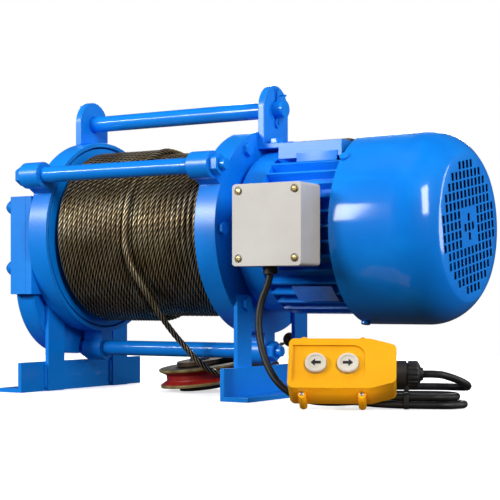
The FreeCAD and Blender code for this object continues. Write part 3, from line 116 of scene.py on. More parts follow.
def make_room():
    """White for the eye, and dimmer as a source of light."""
    world = bpy.data.worlds.new("room")
    world.use_nodes = True
    tree = world.node_tree
    seen = tree.nodes["Background"]
    seen.inputs["Color"].default_value = ROOM_WHITE
    cast = tree.nodes.new("ShaderNodeBackground")
    cast.inputs["Color"].default_value = ROOM_CAST
    cast.inputs["Strength"].default_value = ROOM_STRENGTH
    path = tree.nodes.new("ShaderNodeLightPath")
    mix = tree.nodes.new("ShaderNodeMixShader")
    tree.links.new(path.outputs["Is Camera Ray"], mix.inputs[0])
    tree.links.new(cast.outputs[0], mix.inputs[1])
    tree.links.new(seen.outputs[0], mix.inputs[2])
    tree.links.new(mix.outputs[0], tree.nodes["World Output"].inputs[0])
    bpy.context.scene.world = world


make_room()


# Materials

NOISE_ROUGHNESS = 0.55
MIX_FACTOR = 0
MIX_FIRST = 6
MIX_SECOND = 7
MIX_RESULT = 2


def hue(text):
    """A colour written as on a paint card, in linear values."""
    values = []
    for start in (0, 2, 4):
        part = int(text[start:start + 2], 16) / 255
        values.append(part / 12.92 if part <= 0.04045 else ((part + 0.055) / 1.055) ** 2.4)
    return (*values, 1)


class Finish:
    """A shader with its object-space pattern nodes."""

    def __init__(self, name, **sockets):
        self.material = bpy.data.materials.new(name)
        self.material.use_nodes = True
        self.tree = self.material.node_tree
        self.shader = self.tree.nodes["Principled BSDF"]
        for key, value in sockets.items():
            self.shader.inputs[key.replace("_", " ")].default_value = value
        self.place = self.tree.nodes.new("ShaderNodeTexCoord").outputs["Object"]

    def link(self, start, end):
        self.tree.links.new(start, end)

    def feed(self, value, socket):
        """Sets a socket to a fixed value, or to what another node gives."""
        if isinstance(value, (tuple, float, int)):
            socket.default_value = value
        else:
            self.link(value, socket)

    def node(self, kind, **values):
        made = self.tree.nodes.new("ShaderNode" + kind)
        for key, value in values.items():
            setattr(made, key, value)
        return made

    def noise(self, scale, detail, stretch=None):
        source = self.place
        if stretch:
            mapping = self.node("Mapping")
            mapping.inputs["Scale"].default_value = stretch
            self.link(source, mapping.inputs["Vector"])
            source = mapping.outputs["Vector"]
        made = self.node("TexNoise")
        made.inputs["Scale"].default_value = scale
        made.inputs["Detail"].default_value = detail
        made.inputs["Roughness"].default_value = NOISE_ROUGHNESS
        self.link(source, made.inputs["Vector"])
        return made.outputs["Fac"]

    def attribute(self, name):
        return self.node("Attribute", attribute_name=name).outputs["Fac"]

    def ramp(self, factor, *stops):
        made = self.node("ValToRGB")
        marks = made.color_ramp.elements
        while len(marks) < len(stops):
            marks.new(0.5)
        for mark, (at, colour) in zip(marks, stops):
            mark.position = at
            mark.color = colour if isinstance(colour, tuple) else (colour, colour, colour, 1)
        self.link(factor, made.inputs["Fac"])
        return made.outputs["Color"]

    def tones(self, scale, detail, marks, colours):
        """Patches of colour, each with the level of the pattern where it is full."""
        stops = [(mark, hue(colour)) for mark, colour in zip(marks, colours)]
        return self.ramp(self.noise(scale, detail), *stops)

    def mix(self, factor, first, second):
        made = self.node("Mix", data_type="RGBA")
        self.feed(factor, made.inputs[MIX_FACTOR])
        self.feed(first, made.inputs[MIX_FIRST])
        self.feed(second, made.inputs[MIX_SECOND])
        return made.outputs[MIX_RESULT]

    def math(self, operation, first, second=0.0):
        made = self.node("Math", operation=operation)
        self.feed(first, made.inputs[0])
        self.feed(second, made.inputs[1])
        return made.outputs[0]

    def around_axis(self, origin, turn):
        """Height along an axis (its local Z) and distance from it, in metres."""
        mapping = self.node("Mapping", vector_type="TEXTURE")
        mapping.inputs["Location"].default_value = origin
        mapping.inputs["Rotation"].default_value = turn
        self.link(self.place, mapping.inputs["Vector"])
        parts = self.node("SeparateXYZ")
        self.link(mapping.outputs[0], parts.inputs[0])
        across = self.math("MULTIPLY", parts.outputs["X"], parts.outputs["X"])
        along = self.math("MULTIPLY", parts.outputs["Y"], parts.outputs["Y"])
        return parts.outputs["Z"], self.math("SQRT", self.math("ADD", across, along))

    def colour(self, source):
        self.link(source, self.shader.inputs["Base Color"])

    def rough(self, factor, low, high):
        made = self.node("MapRange")
        made.inputs["To Min"].default_value = low
        made.inputs["To Max"].default_value = high
        self.link(factor, made.inputs["Value"])
        self.link(made.outputs["Result"], self.shader.inputs["Roughness"])

    def bump(self, height, strength, depth):
        made = self.node("Bump")
        made.inputs["Strength"].default_value = strength
        made.inputs["Distance"].default_value = depth
        self.link(height, made.inputs["Height"])
        self.link(made.outputs["Normal"], self.shader.inputs["Normal"])


EDGE_STARTS = 0.5
EDGE_FULL = 0.56


def worn(finish, base, edge, amount):
    """Lets the edges show through: pointed places take the second colour."""
    point = finish.node("NewGeometry").outputs["Pointiness"]
    mask = finish.ramp(point, (EDGE_STARTS, 0.0), (EDGE_FULL, amount))
    return finish.mix(mask, base, edge)


BUMP_DEPTH = 0.001
FINE_BUMP = 0.0004
PAINT_MARKS = (0.3, 0.52, 0.75)
PLASTIC_MARKS = (0.3, 0.5, 0.75)
METAL_MARKS = (0.28, 0.5, 0.72)
WIRE_MARKS = (0.3, 0.5, 0.72)
DULL_MARKS = (0.3, 0.55, 0.8)
PAINT_GLOSS = 0.11


def start_paint(name, colours, gloss):
    """A lacquered finish and its colour, which is paler on the edges."""
    made = Finish(name, Coat_Weight=0.9, Coat_Roughness=gloss, Specular_IOR_Level=0.12)
    base = made.tones(14, 4, PAINT_MARKS, colours)
    return made, worn(made, base, hue(colours[-1]), 0.5)


def end_paint(made, colour, rough=(0.4, 0.55), grain=420, strength=0.12):
    made.colour(colour)
    made.rough(made.noise(60, 3), *rough)
    made.bump(made.noise(grain, 2), strength, BUMP_DEPTH)
    return made.material


def make_paint(name, colours, gloss=PAINT_GLOSS, **texture):
    made, colour = start_paint(name, colours, gloss)
    return end_paint(made, colour, **texture)


def make_plastic(name, colours, rough=(0.38, 0.5)):
    made = Finish(name)
    base = made.tones(18, 4, PLASTIC_MARKS, colours)
    made.colour(worn(made, base, hue(colours[-1]), 0.4))
    made.rough(made.noise(90, 3), *rough)
    made.bump(made.noise(1500, 1), 0.12, FINE_BUMP)
    return made.material


def make_metal(name, colours, rough=(0.24, 0.42), stretch=(1, 1, 1), metallic=0.9):
    made = Finish(name, Metallic=metallic)
    base = made.tones(40, 5, METAL_MARKS, colours)
    made.colour(worn(made, base, hue(colours[-1]), 0.6))
    made.rough(made.noise(130, 4, stretch), *rough)
    made.bump(made.noise(500, 3, stretch), 0.1, FINE_BUMP)
    return made.material


BLUES = ("007CE8", "0086F4", "0E94FF")
BLUE = make_paint("azure_paint", BLUES)
CAST = make_paint("azure_on_casting", BLUES, gloss=0.28, grain=260, strength=0.3)
BRIGHT = make_metal("zinc_steel", ("8C8E90", "B4B6B8", "D6D8DA"))
GEAR = make_metal("cut_steel", ("77787A", "9A9B9C", "C6C7C8"), (0.2, 0.38), stretch=(1, 8, 8))
DARK = make_metal("brown_steel", ("1E1712", "3A2C22", "6B5440"), (0.35, 0.55), metallic=0.5)
CORE = make_metal("core_sheets", ("4A4744", "5E5A56", "78746F"), (0.4, 0.6), (60, 1, 1), 0.6)
RED = make_paint("red_primer", ("4A1410", "6A2018", "8C3326"), rough=(0.4, 0.6))
CAP_PLATE = make_metal("dark_plate", ("2A2522", "443B35", "6A5E55"), (0.4, 0.6), metallic=0.3)
BRONZE = make_metal("bronze", ("7A5326", "A8783A", "CFA25C"))
BRASS = make_metal("brass", ("7A6438", "A08A58", "C9B88C"))
PALE = make_plastic("pale_grey_plastic", ("CBC6BE", "D5D0C8", "DFDBD5"))
BLACK = make_plastic("black_plastic", ("121212", "1B1B1C", "2E2E30"), (0.4, 0.55))
YELLOW = make_plastic("yellow_plastic", ("F0A200", "F9AF00", "FFBC00"), (0.34, 0.46))
WHITE = make_plastic("button_plastic", ("CFC5B4", "DDD4C4", "E8E1D4"), (0.3, 0.42))


def make_rope(name):
    """Oiled wires, browner where the grease is thick, with painted shade that turns them near black
    between the strands.
    """
    made = Finish(name, Metallic=0.65)
    tone = made.tones(40, 5, WIRE_MARKS, ("C0A678", "E2C998", "FBEBC6"))
    grease = made.ramp(made.noise(11, 4), (0.4, 0.0), (0.7, 0.6))
    oiled = made.mix(grease, tone, hue("70532E"))
    # Painted shade: the grooves between the strands turn near black.
    groove_shade = made.ramp(made.attribute("groove"), (0.03, 0.0), (0.36, 1.0))
    made.colour(made.mix(groove_shade, oiled, hue("0C0805")))
    made.rough(made.noise(160, 3), 0.3, 0.48)
    made.bump(made.attribute("wire"), 0.5, FINE_BUMP)
    return made.material


def make_cord(name):
    made = Finish(name)
    made.colour(made.tones(50, 4, DULL_MARKS, ("0E0E0F", "19191B", "2B2B2E")))
    made.rough(made.noise(200, 3), 0.42, 0.58)
    made.bump(made.noise(900, 2), 0.15, FINE_BUMP)
    return made.material


ROPE_WIRE = make_rope("oiled_rope_wire")
RUBBER = make_cord("black_cord_sheath")

SLOT_FINISH = {
    "blue_paint": BLUE, "rope_wire": ROPE_WIRE, "bright_steel": BRIGHT, "gear_steel": GEAR,
    "dark_steel": DARK, "lamination": CORE, "sheave_paint": RED, "bronze": BRONZE,
    "brass_screw": BRASS, "pale_plastic": PALE, "black_plastic": BLACK,
    "yellow_plastic": YELLOW, "button_plastic": WHITE, "cord_rubber": RUBBER,
}


# Floor, in metres

FLOOR_REACH = 1.1
FLOOR_SIDES = 96
FLOOR_GLOW = 0.62


def make_floor():
    made = Finish("pale_floor", Emission_Color=(1, 1, 1, 1), Emission_Strength=FLOOR_GLOW)
    made.colour(made.tones(3, 3, (0.35, 0.65), ("F4F4F4", "FAFAFA")))
    made.rough(made.noise(12, 3), 0.55, 0.7)
    form = bmesh.new()
    bmesh.ops.create_circle(form, cap_ends=True, segments=FLOOR_SIDES, radius=FLOOR_REACH)
    mesh = bpy.data.meshes.new("floor")
    form.to_mesh(mesh)
    form.free()
    floor = add_object("floor", mesh)
    floor.data.materials.append(made.material)
    floor.visible_diffuse = False
    floor.visible_glossy = False


make_floor()


# Rounded edges and finishes

JOIN_DISTANCE = 0.002 * MM
SMOOTH_ANGLE = math.radians(32)
FLAT_ANGLE = math.radians(0.3)
ROUNDED_ANGLE = math.radians(35)
ROUNDED_PARTS = 2


def edge_group():
    """Joins the facets, then shades smoothly up to a fixed angle."""
    group = bpy.data.node_groups.new("joined_facets", "GeometryNodeTree")
    group.interface.new_socket("Geometry", in_out="INPUT", socket_type="NodeSocketGeometry")
    group.interface.new_socket("Geometry", in_out="OUTPUT", socket_type="NodeSocketGeometry")
    make = group.nodes.new
    start = make("NodeGroupInput")
    end = make("NodeGroupOutput")
    bare = make("GeometryNodeRemoveAttribute")
    bare.inputs["Name"].default_value = "custom_normal"
    join = make("GeometryNodeMergeByDistance")
    join.inputs["Distance"].default_value = JOIN_DISTANCE
    smooth = make("GeometryNodeSetShadeSmooth")
    sharp = make("GeometryNodeSetShadeSmooth")
    sharp.domain = "EDGE"
    sharp.inputs["Shade Smooth"].default_value = False
    angle = make("GeometryNodeInputMeshEdgeAngle")
    over = make("FunctionNodeCompare")
    over.operation = "GREATER_THAN"
    over.inputs[1].default_value = SMOOTH_ANGLE
    chain = [start, bare, join, smooth, sharp, end]
    for first, second in zip(chain, chain[1:]):
        group.links.new(first.outputs[0], second.inputs[0])
    group.links.new(angle.outputs["Unsigned Angle"], over.inputs[0])
    group.links.new(over.outputs[0], sharp.inputs["Selection"])
    return group


EDGES = edge_group()


def soften(piece, width):
    """Smooth shading, and edges rounded by a width that may be zero."""
    joined = piece.modifiers.new("joined", "NODES")
    joined.node_group = EDGES
    if width:
        flat = piece.modifiers.new("flats", "DECIMATE")
        flat.decimate_type = "DISSOLVE"
        flat.angle_limit = FLAT_ANGLE
        bevel = piece.modifiers.new("edges", "BEVEL")
        bevel.width = width * MM
        bevel.segments = ROUNDED_PARTS
        bevel.limit_method = "ANGLE"
        bevel.angle_limit = ROUNDED_ANGLE
        bevel.use_clamp_overlap = True
        bevel.harden_normals = True


def dress(piece, material):
    piece.data.materials.clear()
    piece.data.materials.append(material)


# Curves, and a laid rope along them

CURVE_STEPS = 16
CURVE_ORDER = 3


def spline(name, points):
    """A smooth open curve with the points (mm) as its control points."""
    curve = bpy.data.curves.new(name, "CURVE")
    curve.dimensions = "3D"
    curve.resolution_u = CURVE_STEPS
    line = curve.splines.new("NURBS")
    line.points.add(len(points) - 1)
    for mark, point in zip(line.points, points):
        mark.co = (point[0] * MM, point[1] * MM, point[2] * MM, 1)
    line.order_u = CURVE_ORDER
    line.use_endpoint_u = True
    return curve


def mesh_from(curve):
    holder = bpy.data.objects.new("curve_form", curve)
    mesh = bpy.data.meshes.new_from_object(holder)
    bpy.data.objects.remove(holder)
    return mesh


def curve_points(curve):
    """Points read along a curve, in metres."""
    mesh = mesh_from(curve)
    points = [vertex.co.copy() for vertex in mesh.vertices]
    bpy.data.meshes.remove(mesh)
    return points


def stepped(points, step):
    """The same line in equal steps."""
    lengths = [0.0]
    for first, second in zip(points, points[1:]):
        lengths.append(lengths[-1] + (second - first).length)
    count = max(2, round(lengths[-1] / step))
    out = []
    index = 0
    for mark in range(count + 1):
        want = lengths[-1] * mark / count
        while index < len(points) - 2 and lengths[index + 1] < want:
            index += 1
        span = lengths[index + 1] - lengths[index]
        share = (want - lengths[index]) / span if span else 0
        out.append(points[index].lerp(points[index + 1], share))
    return out


STRANDS = 6
ROPE_LAY = 40.0
GROOVE_DEPTH = 0.26
WIRES = 5
WIRE_LAY = 6.0
# Facets round the rope, and its step along the line
TAIL_MESH = (24, 1.7)
TURNS_MESH = (18, 2.1)


def strand_rope(name, points, around, step):
    """A laid rope: six strands twisted round the line, with closed ends."""
    line = stepped(points, step * MM)
    tangents = []
    for index in range(len(line)):
        before = line[max(index - 1, 0)]
        after = line[min(index + 1, len(line) - 1)]
        tangents.append((after - before).normalized())
    normal = tangents[0].orthogonal().normalized()
    radius = ROPE / 2 * MM
    spots, grooves, wires, faces = [], [], [], []
    travel = 0.0
    for index, (point, tangent) in enumerate(zip(line, tangents)):
        if index:
            turn = tangents[index - 1].rotation_difference(tangent)
            normal = turn @ normal
            travel += (point - line[index - 1]).length
        normal = (normal - tangent * normal.dot(tangent)).normalized()
        side = tangent.cross(normal)
        twist = math.tau * travel / (ROPE_LAY * MM)
        wire_twist = math.tau * travel / (WIRE_LAY * MM)
        for mark in range(around):
            angle = math.tau * mark / around
            swing = STRANDS * (angle - twist) / 2
            crown = abs(math.cos(swing))
            grow = radius * (1 - GROOVE_DEPTH * (1 - crown))
            spots.append(point + (normal * math.cos(angle) + side * math.sin(angle)) * grow)
            grooves.append(1 - crown)
            wires.append(0.5 + 0.5 * math.cos(2 * WIRES * swing + wire_twist))
    for index in range(len(line) - 1):
        low = index * around
        high = low + around
        for mark in range(around):
            after = (mark + 1) % around
            faces.append((low + mark, low + after, high + after, high + mark))
    last = (len(line) - 1) * around
    faces.append(tuple(reversed(range(around))))
    faces.append(tuple(range(last, last + around)))
    mesh = bpy.data.meshes.new(name)
    mesh.from_pydata(spots, [], faces)
    for label, values in (("groove", grooves), ("wire", wires)):
        layer = mesh.attributes.new(label, "FLOAT", "POINT")
        layer.data.foreach_set("value", values)
    mesh.polygons.foreach_set("use_smooth", [True] * len(faces))
    return add_object(name, mesh)


# Wound turns: one more layer of rope on the gear side of the tail than on the motor side

DRUM_END = 103.5
FIRST_TURN = DRUM_END - ROPE / 2
LAST_TURN = -8.4
HIGH_LAYER = 102.0
HIGH_TURNS = 13
LOW_LAYER = 96.0
LOW_TURNS = 15.25
LOW_FIRST = -13.0
TURN_STEPS = 120
DIP_STEPS = 8


def helix(start, end, turns, reach):
    """A line wound round the drum axis, in metres, whose last end dips into the layer below."""
    points = []
    step = (end - start) / turns
    last = round(turns * TURN_STEPS)
    for mark in range(last + 1):
        angle = math.tau * mark / TURN_STEPS
        x = start + step * mark / TURN_STEPS
        out = reach - ROPE * max(0, 1 - (last - mark) / DIP_STEPS)
        points.append(Vector((x, out * math.sin(angle), AXIS_HEIGHT - out * math.cos(angle))) * MM)
    return points


HIGH_HELIX = helix(-FIRST_TURN, LAST_TURN, HIGH_TURNS, HIGH_LAYER - ROPE / 2)
LOW_HELIX = helix(LOW_FIRST, FIRST_TURN, LOW_TURNS, LOW_LAYER - ROPE / 2)


# Rope tail: over the drum's front, down to the sheave, round it and on to its eye

ROPE_GAP = 0.4
TAIL_X = -1.2
TAIL_START = 68
TAIL_LEAVES = 200
DRUM_STEP = 24
SHEAVE_GROOVE = 42
SHEAVE_STEP = 30
SHEAVE_START = -40
BLOCK_TILT = math.radians(7)
BLOCK_TURN = math.radians(55)
BLOCK_BASE = Vector((22, 22, 20.585))
BLOCK_FRAME = Matrix.Rotation(BLOCK_TURN, 3, "Z") @ Matrix.Rotation(-BLOCK_TILT, 3, "Y")


def control_reach(radius, step):
    """Distance from the axis of control points whose curve lies on a round bed."""
    return (radius + ROPE / 2 + ROPE_GAP) / math.cos(math.radians(step / 2))


def on_drum(degrees, dip=0.0):
    reach = control_reach(LOW_LAYER, DRUM_STEP) - dip
    angle = math.radians(degrees)
    return (TAIL_X, reach * math.cos(angle), AXIS_HEIGHT + reach * math.sin(angle))


def on_sheave(degrees):
    reach = control_reach(SHEAVE_GROOVE, SHEAVE_STEP)
    angle = math.radians(degrees)
    spot = Vector((reach * math.cos(angle), reach * math.sin(angle), 0))
    return tuple(BLOCK_BASE + BLOCK_FRAME @ spot)


ROPE_ROUTE = [on_drum(TAIL_START, ROPE / 2)]
ROPE_ROUTE += [on_drum(degrees) for degrees in range(TAIL_START + DRUM_STEP, TAIL_LEAVES, DRUM_STEP)]
ROPE_ROUTE += [
    (2, -98, 152), (10, -91, 132), (18.5, -80, 111), (25, -63, 87), (30.5, -48, 69),
    (38, -36, 54), (45, -32, 44.5), (53, -29, 36), (60.5, -23, 28.5), (68.5, -9, 22.3),
]
ROPE_ROUTE += [on_sheave(degrees) for degrees in (SHEAVE_START, SHEAVE_START + SHEAVE_STEP)]
ROPE_ROUTE += [(28, 71.5, 25.9), (10.4, 81.7, 21.5), (-7, 91.7, 13.5), (-22, 100.4, 8.8)]

rope_points = curve_points(spline("rope_route", ROPE_ROUTE))
rope = strand_rope("rope_tail_laid", rope_points, *TAIL_MESH)
dress(rope, ROPE_WIRE)
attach(rope, FRAME_BODY)
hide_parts("rope_tail")

winding = strand_rope("rope_turns_high", HIGH_HELIX, *TURNS_MESH)
low_winding = strand_rope("rope_turns_low", LOW_HELIX, *TURNS_MESH)
for piece in (winding, low_winding):
    dress(piece, ROPE_WIRE)
    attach(piece, DRUM_BODY)
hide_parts("rope_winding")


# Place of the pendant, which stands on its long edge and leans back

PENDANT_LEAN = math.radians(30)
PENDANT_YAW = math.radians(25)
PENDANT_DEPTH = 36.0
PENDANT_X = 264
PENDANT_Y = -194
EAR_DROP = 6.4
FLOOR_GAP = 0.3
BUTTON_UP = 27.0
GLAND_ALONG = 105
GLAND_LENGTH = 26
GLAND_OUT = -23
EDGE_HEIGHT = PENDANT_DEPTH * math.sin(PENDANT_LEAN) + EAR_DROP * math.cos(PENDANT_LEAN)
PENDANT_BASE = Vector((PENDANT_X, PENDANT_Y, EDGE_HEIGHT + FLOOR_GAP))
RAISED = Matrix.Rotation(math.radians(90) - PENDANT_LEAN, 3, "X")
PENDANT_TURN = Matrix.Rotation(PENDANT_YAW, 3, "Z") @ RAISED


def in_pendant(along, up, out):
    """A point of the pendant: along it, up its face and out of its face."""
    return PENDANT_BASE + PENDANT_TURN @ Vector((along, up, out))


BACK_EDGE = in_pendant(0, 0, -PENDANT_DEPTH)

# A faint warm strip of light under the pendant's lower edge
GLOW_PLACE = in_pendant(52, -22, -2) * MM
GLOW_TARGET = in_pendant(52, 0, -18) * MM
GLOW_SIZE = (0.095, 0.004)
GLOW_POWER = 0.012
GLOW_COLOUR = (1, 0.8, 0.4)
glow = area_light("light_glow", GLOW_PLACE, GLOW_TARGET, GLOW_SIZE, GLOW_POWER, GLOW_COLOUR)
glow.visible_camera = False


# Route of the cord: from the terminal box to the floor, then the hank beside the pendant

def in_hank(along, across, up):
    """A point of the hank: along the pendant's back edge, away from it, and above the floor."""
    spot = Matrix.Rotation(PENDANT_YAW, 3, "Z") @ Vector((along, across, 0))
    return (BACK_EDGE.x + spot.x, BACK_EDGE.y + spot.y, up)


CORD_ROUTE = [
    (202, -121, 135), (200, -122, 124), (193, -124, 108), (191, -127, 88), (195, -130, 66),
    (204, -134, 45), (217, -137, 27), (231, -135, 15), (244, -128, 7.5), (257, -117.5, 4.6),
]
HANK_ROUTE = [
    (44, 42, 4.2), (58, 54, 4.2), (76, 61.5, 4.1), (108, 63, 4.1), (136.6, 63, 4.1),
    (157.4, 63, 4.1), (172, 48.4, 4.1), (172, 27.6, 4.2), (157.4, 13, 4.3), (136.6, 13, 4.3),
    (108, 13, 4.5), (81.9, 13, 5.6), (61.1, 13, 8), (46.5, 27.6, 11), (46.5, 48.4, 12.4),
    (61.1, 63, 12.2), (81.9, 63, 11.9), (104, 63, 11.9), (129.1, 63, 11.9), (149.9, 63, 11.9),
    (164.5, 48.4, 11.9), (164.5, 27.6, 11.9), (149.9, 13, 12), (129.1, 13, 12.1), (104, 13, 12.2),
    (81.9, 13, 13.6), (61.1, 13, 16), (46.5, 27.6, 18.8), (46.5, 48.4, 20.2), (61.1, 63, 20),
    (81.9, 63, 19.8), (108, 63, 19.8), (138, 62, 20), (157, 59, 20), (170, 49, 20.2),
    (176, 35, 21.3), (174.5, 20, 24.5), (167, 8, 29), (156, 0.8, 33.5), (145, -2, 36.3),
]
CORD_ROUTE += [in_hank(*spot) for spot in HANK_ROUTE]
CORD_ROUTE.append(tuple(in_pendant(GLAND_ALONG + GLAND_LENGTH, BUTTON_UP, GLAND_OUT)))


# Forms of small pieces

def add_piece(name, meshes, material, body, slot, *replaced):
    """One piece made of several meshes, which then rides on a body."""
    form = bmesh.new()
    for mesh in meshes:
        form.from_mesh(mesh)
        bpy.data.meshes.remove(mesh)
    mesh = bpy.data.meshes.new(name)
    bmesh.ops.recalc_face_normals(form, faces=form.faces)
    form.to_mesh(mesh)
    form.free()
    piece = add_object(name, mesh)
    dress(piece, material)
    soften(piece, 0)
    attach(piece, body)
    if replaced:
        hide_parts(*replaced)
    return piece


def mesh_of(spots, faces, place):
    mesh = bpy.data.meshes.new("form")
    mesh.from_pydata([place @ (Vector(spot) * MM) for spot in spots], [], faces)
    return mesh


def lathe(profile, place, steps=48, ribs=0, rib_depth=0.0, ribbed=()):
    """A turned form from (radius, height) points, whose listed rings may carry ribs."""
    spots, rings, faces = [], [], []
    for index, (radius, height) in enumerate(profile):
        if radius == 0:
            rings.append([len(spots)] * steps)
            spots.append((0, 0, height))
            continue
        rings.append(range(len(spots), len(spots) + steps))
        for mark in range(steps):
            angle = math.tau * mark / steps
            reach = radius
            if index in ribbed and math.cos(ribs * angle) < 0:
                reach -= rib_depth
            spots.append((reach * math.cos(angle), reach * math.sin(angle), height))
    for low, high in zip(rings, rings[1:]):
        for mark in range(steps):
            after = (mark + 1) % steps
            corners = [low[mark], low[after], high[after], high[mark]]
            faces.append(tuple(dict.fromkeys(corners)))
    return mesh_of(spots, faces, place)


# Shares of a screw head's height, then of its radius
HEAD_SKIRT = 0.55
HEAD_DOME = 0.45
HEAD_CENTRE = 0.45
CROSS_DEPTH = 0.5
CROSS_HALF = 0.15
CROSS_REACH = 0.7
HEAD_RINGS = 12
HEAD_STEPS = 64


def cross_head(radius, height, place):
    """A domed screw head with a cross cut into it."""
    spots, faces = [(0, 0, height * HEAD_CENTRE)], []
    for ring in range(1, HEAD_RINGS + 1):
        share = ring / HEAD_RINGS
        for mark in range(HEAD_STEPS):
            angle = math.tau * mark / HEAD_STEPS
            across, along = share * math.cos(angle), share * math.sin(angle)
            rise = height * (HEAD_SKIRT + HEAD_DOME * math.sqrt(1 - share * share))
            if share < CROSS_REACH and min(abs(across), abs(along)) < CROSS_HALF:
                rise -= height * CROSS_DEPTH
            spots.append((radius * across, radius * along, rise))
    rim = len(spots)
    for mark in range(HEAD_STEPS):
        angle = math.tau * mark / HEAD_STEPS
        spots.append((radius * math.cos(angle), radius * math.sin(angle), 0))
    for mark in range(HEAD_STEPS):
        after = (mark + 1) % HEAD_STEPS
        faces.append((0, 1 + mark, 1 + after))
        for ring in range(HEAD_RINGS):
            low = 1 + ring * HEAD_STEPS
            high = low + HEAD_STEPS
            faces.append((low + mark, high + mark, high + after, low + after))
    faces.append(tuple(reversed(range(rim, rim + HEAD_STEPS))))
    return mesh_of(spots, faces, place)


WIRE_FACETS = 3
CORD_FACETS = 6
PLATE_FACETS = 2


def plate(outline, height, rim, place, holes=()):
    """A flat plate with rounded rims, standing on its outline."""
    curve = bpy.data.curves.new("plate_line", "CURVE")
    curve.dimensions = "2D"
    curve.fill_mode = "BOTH"
    curve.extrude = (height / 2 - rim) * MM
    curve.bevel_depth = rim * MM
    curve.bevel_resolution = PLATE_FACETS
    curve.offset = -rim * MM
    for points in (outline, *holes):
        line = curve.splines.new("POLY")
        line.points.add(len(points) - 1)
        for mark, point in zip(line.points, points):
            mark.co = (point[0] * MM, point[1] * MM, 0, 1)
        line.use_cyclic_u = True
    mesh = mesh_from(curve)
    mesh.transform(place @ Matrix.Translation((0, 0, height / 2 * MM)))
    return mesh


def make_round(curve, radius, facets):
    """Gives a curve a round section and closed ends."""
    curve.bevel_depth = radius * MM
    curve.bevel_resolution = facets
    curve.use_fill_caps = True


def tube(points, radius):
    """A round wire along a smooth line."""
    curve = spline("wire_line", points)
    make_round(curve, radius, WIRE_FACETS)
    return mesh_from(curve)


CORNER_PARTS = 8


def rounded(left, low, right, high, corner):
    """The outline of a rectangle with round corners."""
    points = []
    centres = [(right - corner, high - corner), (left + corner, high - corner),
               (left + corner, low + corner), (right - corner, low + corner)]
    for quarter, (x, y) in enumerate(centres):
        for mark in range(CORNER_PARTS + 1):
            angle = math.pi / 2 * (quarter + mark / CORNER_PARTS)
            points.append((x + corner * math.cos(angle), y + corner * math.sin(angle)))
    return points


BEND_PARTS = 12
BEND_CORNERS = 4
# The sides of a section, by its corners
BEND_SIDES = ((0, 1), (1, 3), (3, 2), (2, 0))


def bent_plate(x_start, x_end, radius, wall, low, high):
    """A thin plate bent round the motor, between two angles under the front."""
    spots, faces = [], []
    for mark in range(BEND_PARTS + 1):
        angle = math.radians(low + (high - low) * mark / BEND_PARTS)
        for reach in (radius, radius + wall):
            for x in (x_start, x_end):
                spots.append((x, -reach * math.cos(angle), AXIS_HEIGHT - reach * math.sin(angle)))
    for mark in range(BEND_PARTS):
        near = mark * BEND_CORNERS
        far = near + BEND_CORNERS
        for first, second in BEND_SIDES:
            faces.append((near + first, near + second, far + second, far + first))
    last = BEND_PARTS * BEND_CORNERS
    faces += [(0, 2, 3, 1), (last, last + 1, last + 3, last + 2)]
    return mesh_of(spots, faces, Matrix())


def at(x, y, z):
    return Matrix.Translation(Vector((x, y, z)) * MM)


def box_in_mm(name):
    """Lowest and highest corner of a node."""
    return [[value / MM for value in corner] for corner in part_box(name)]


FACING_FRONT = Matrix.Rotation(math.radians(90), 4, "X")
UP_THE_CORD = Matrix(((0, 0, 1, 0), (1, 0, 0, 0), (0, 1, 0, 0), (0, 0, 0, 1)))
PENDANT = at(*PENDANT_BASE) @ PENDANT_TURN.to_4x4()


# Terminal box: screws in the corners of its lid, each in a low ring

BOX_SCREW = 3.5
SCREWS_LOW, SCREWS_HIGH = box_in_mm("terminal_box_screws")
LID_Y = SCREWS_HIGH[1]
HEAD_HEIGHT = SCREWS_HIGH[1] - SCREWS_LOW[1]
BOX_SCREWS = [(x, z) for x in (SCREWS_LOW[0] + BOX_SCREW, SCREWS_HIGH[0] - BOX_SCREW)
              for z in (SCREWS_LOW[2] + BOX_SCREW, SCREWS_HIGH[2] - BOX_SCREW)]
RING = [(4.6, 0), (7.2, 0), (7.2, 0.6), (6.7, 1), (5.1, 1), (4.6, 0.6), (4.6, 0)]
RING_SUNK = 0.1
add_piece("box_screw_heads",
          [cross_head(BOX_SCREW, HEAD_HEIGHT, at(x, LID_Y, z) @ FACING_FRONT) for x, z in BOX_SCREWS],
          BRASS, FRAME_BODY, "brass_screw", "terminal_box_screws")
add_piece("box_screw_rings",
          [lathe(RING, at(x, LID_Y - RING_SUNK, z) @ FACING_FRONT) for x, z in BOX_SCREWS],
          PALE, FRAME_BODY, "pale_plastic")


# Pendant: screws in its ears, button caps with arrows, and a ribbed gland

EAR_SCREW = 2.2
EAR_HEAD = 2
EAR_FACE = -9
EAR_SCREWS = [(along, up) for along in (14, 72) for up in (-2.4, 56.4)]
add_piece("pendant_screw_heads",
          [cross_head(EAR_SCREW, EAR_HEAD, PENDANT @ at(along, up, EAR_FACE))
           for along, up in EAR_SCREWS],
          BRIGHT, FRAME_BODY, "bright_steel", "pendant_screws")

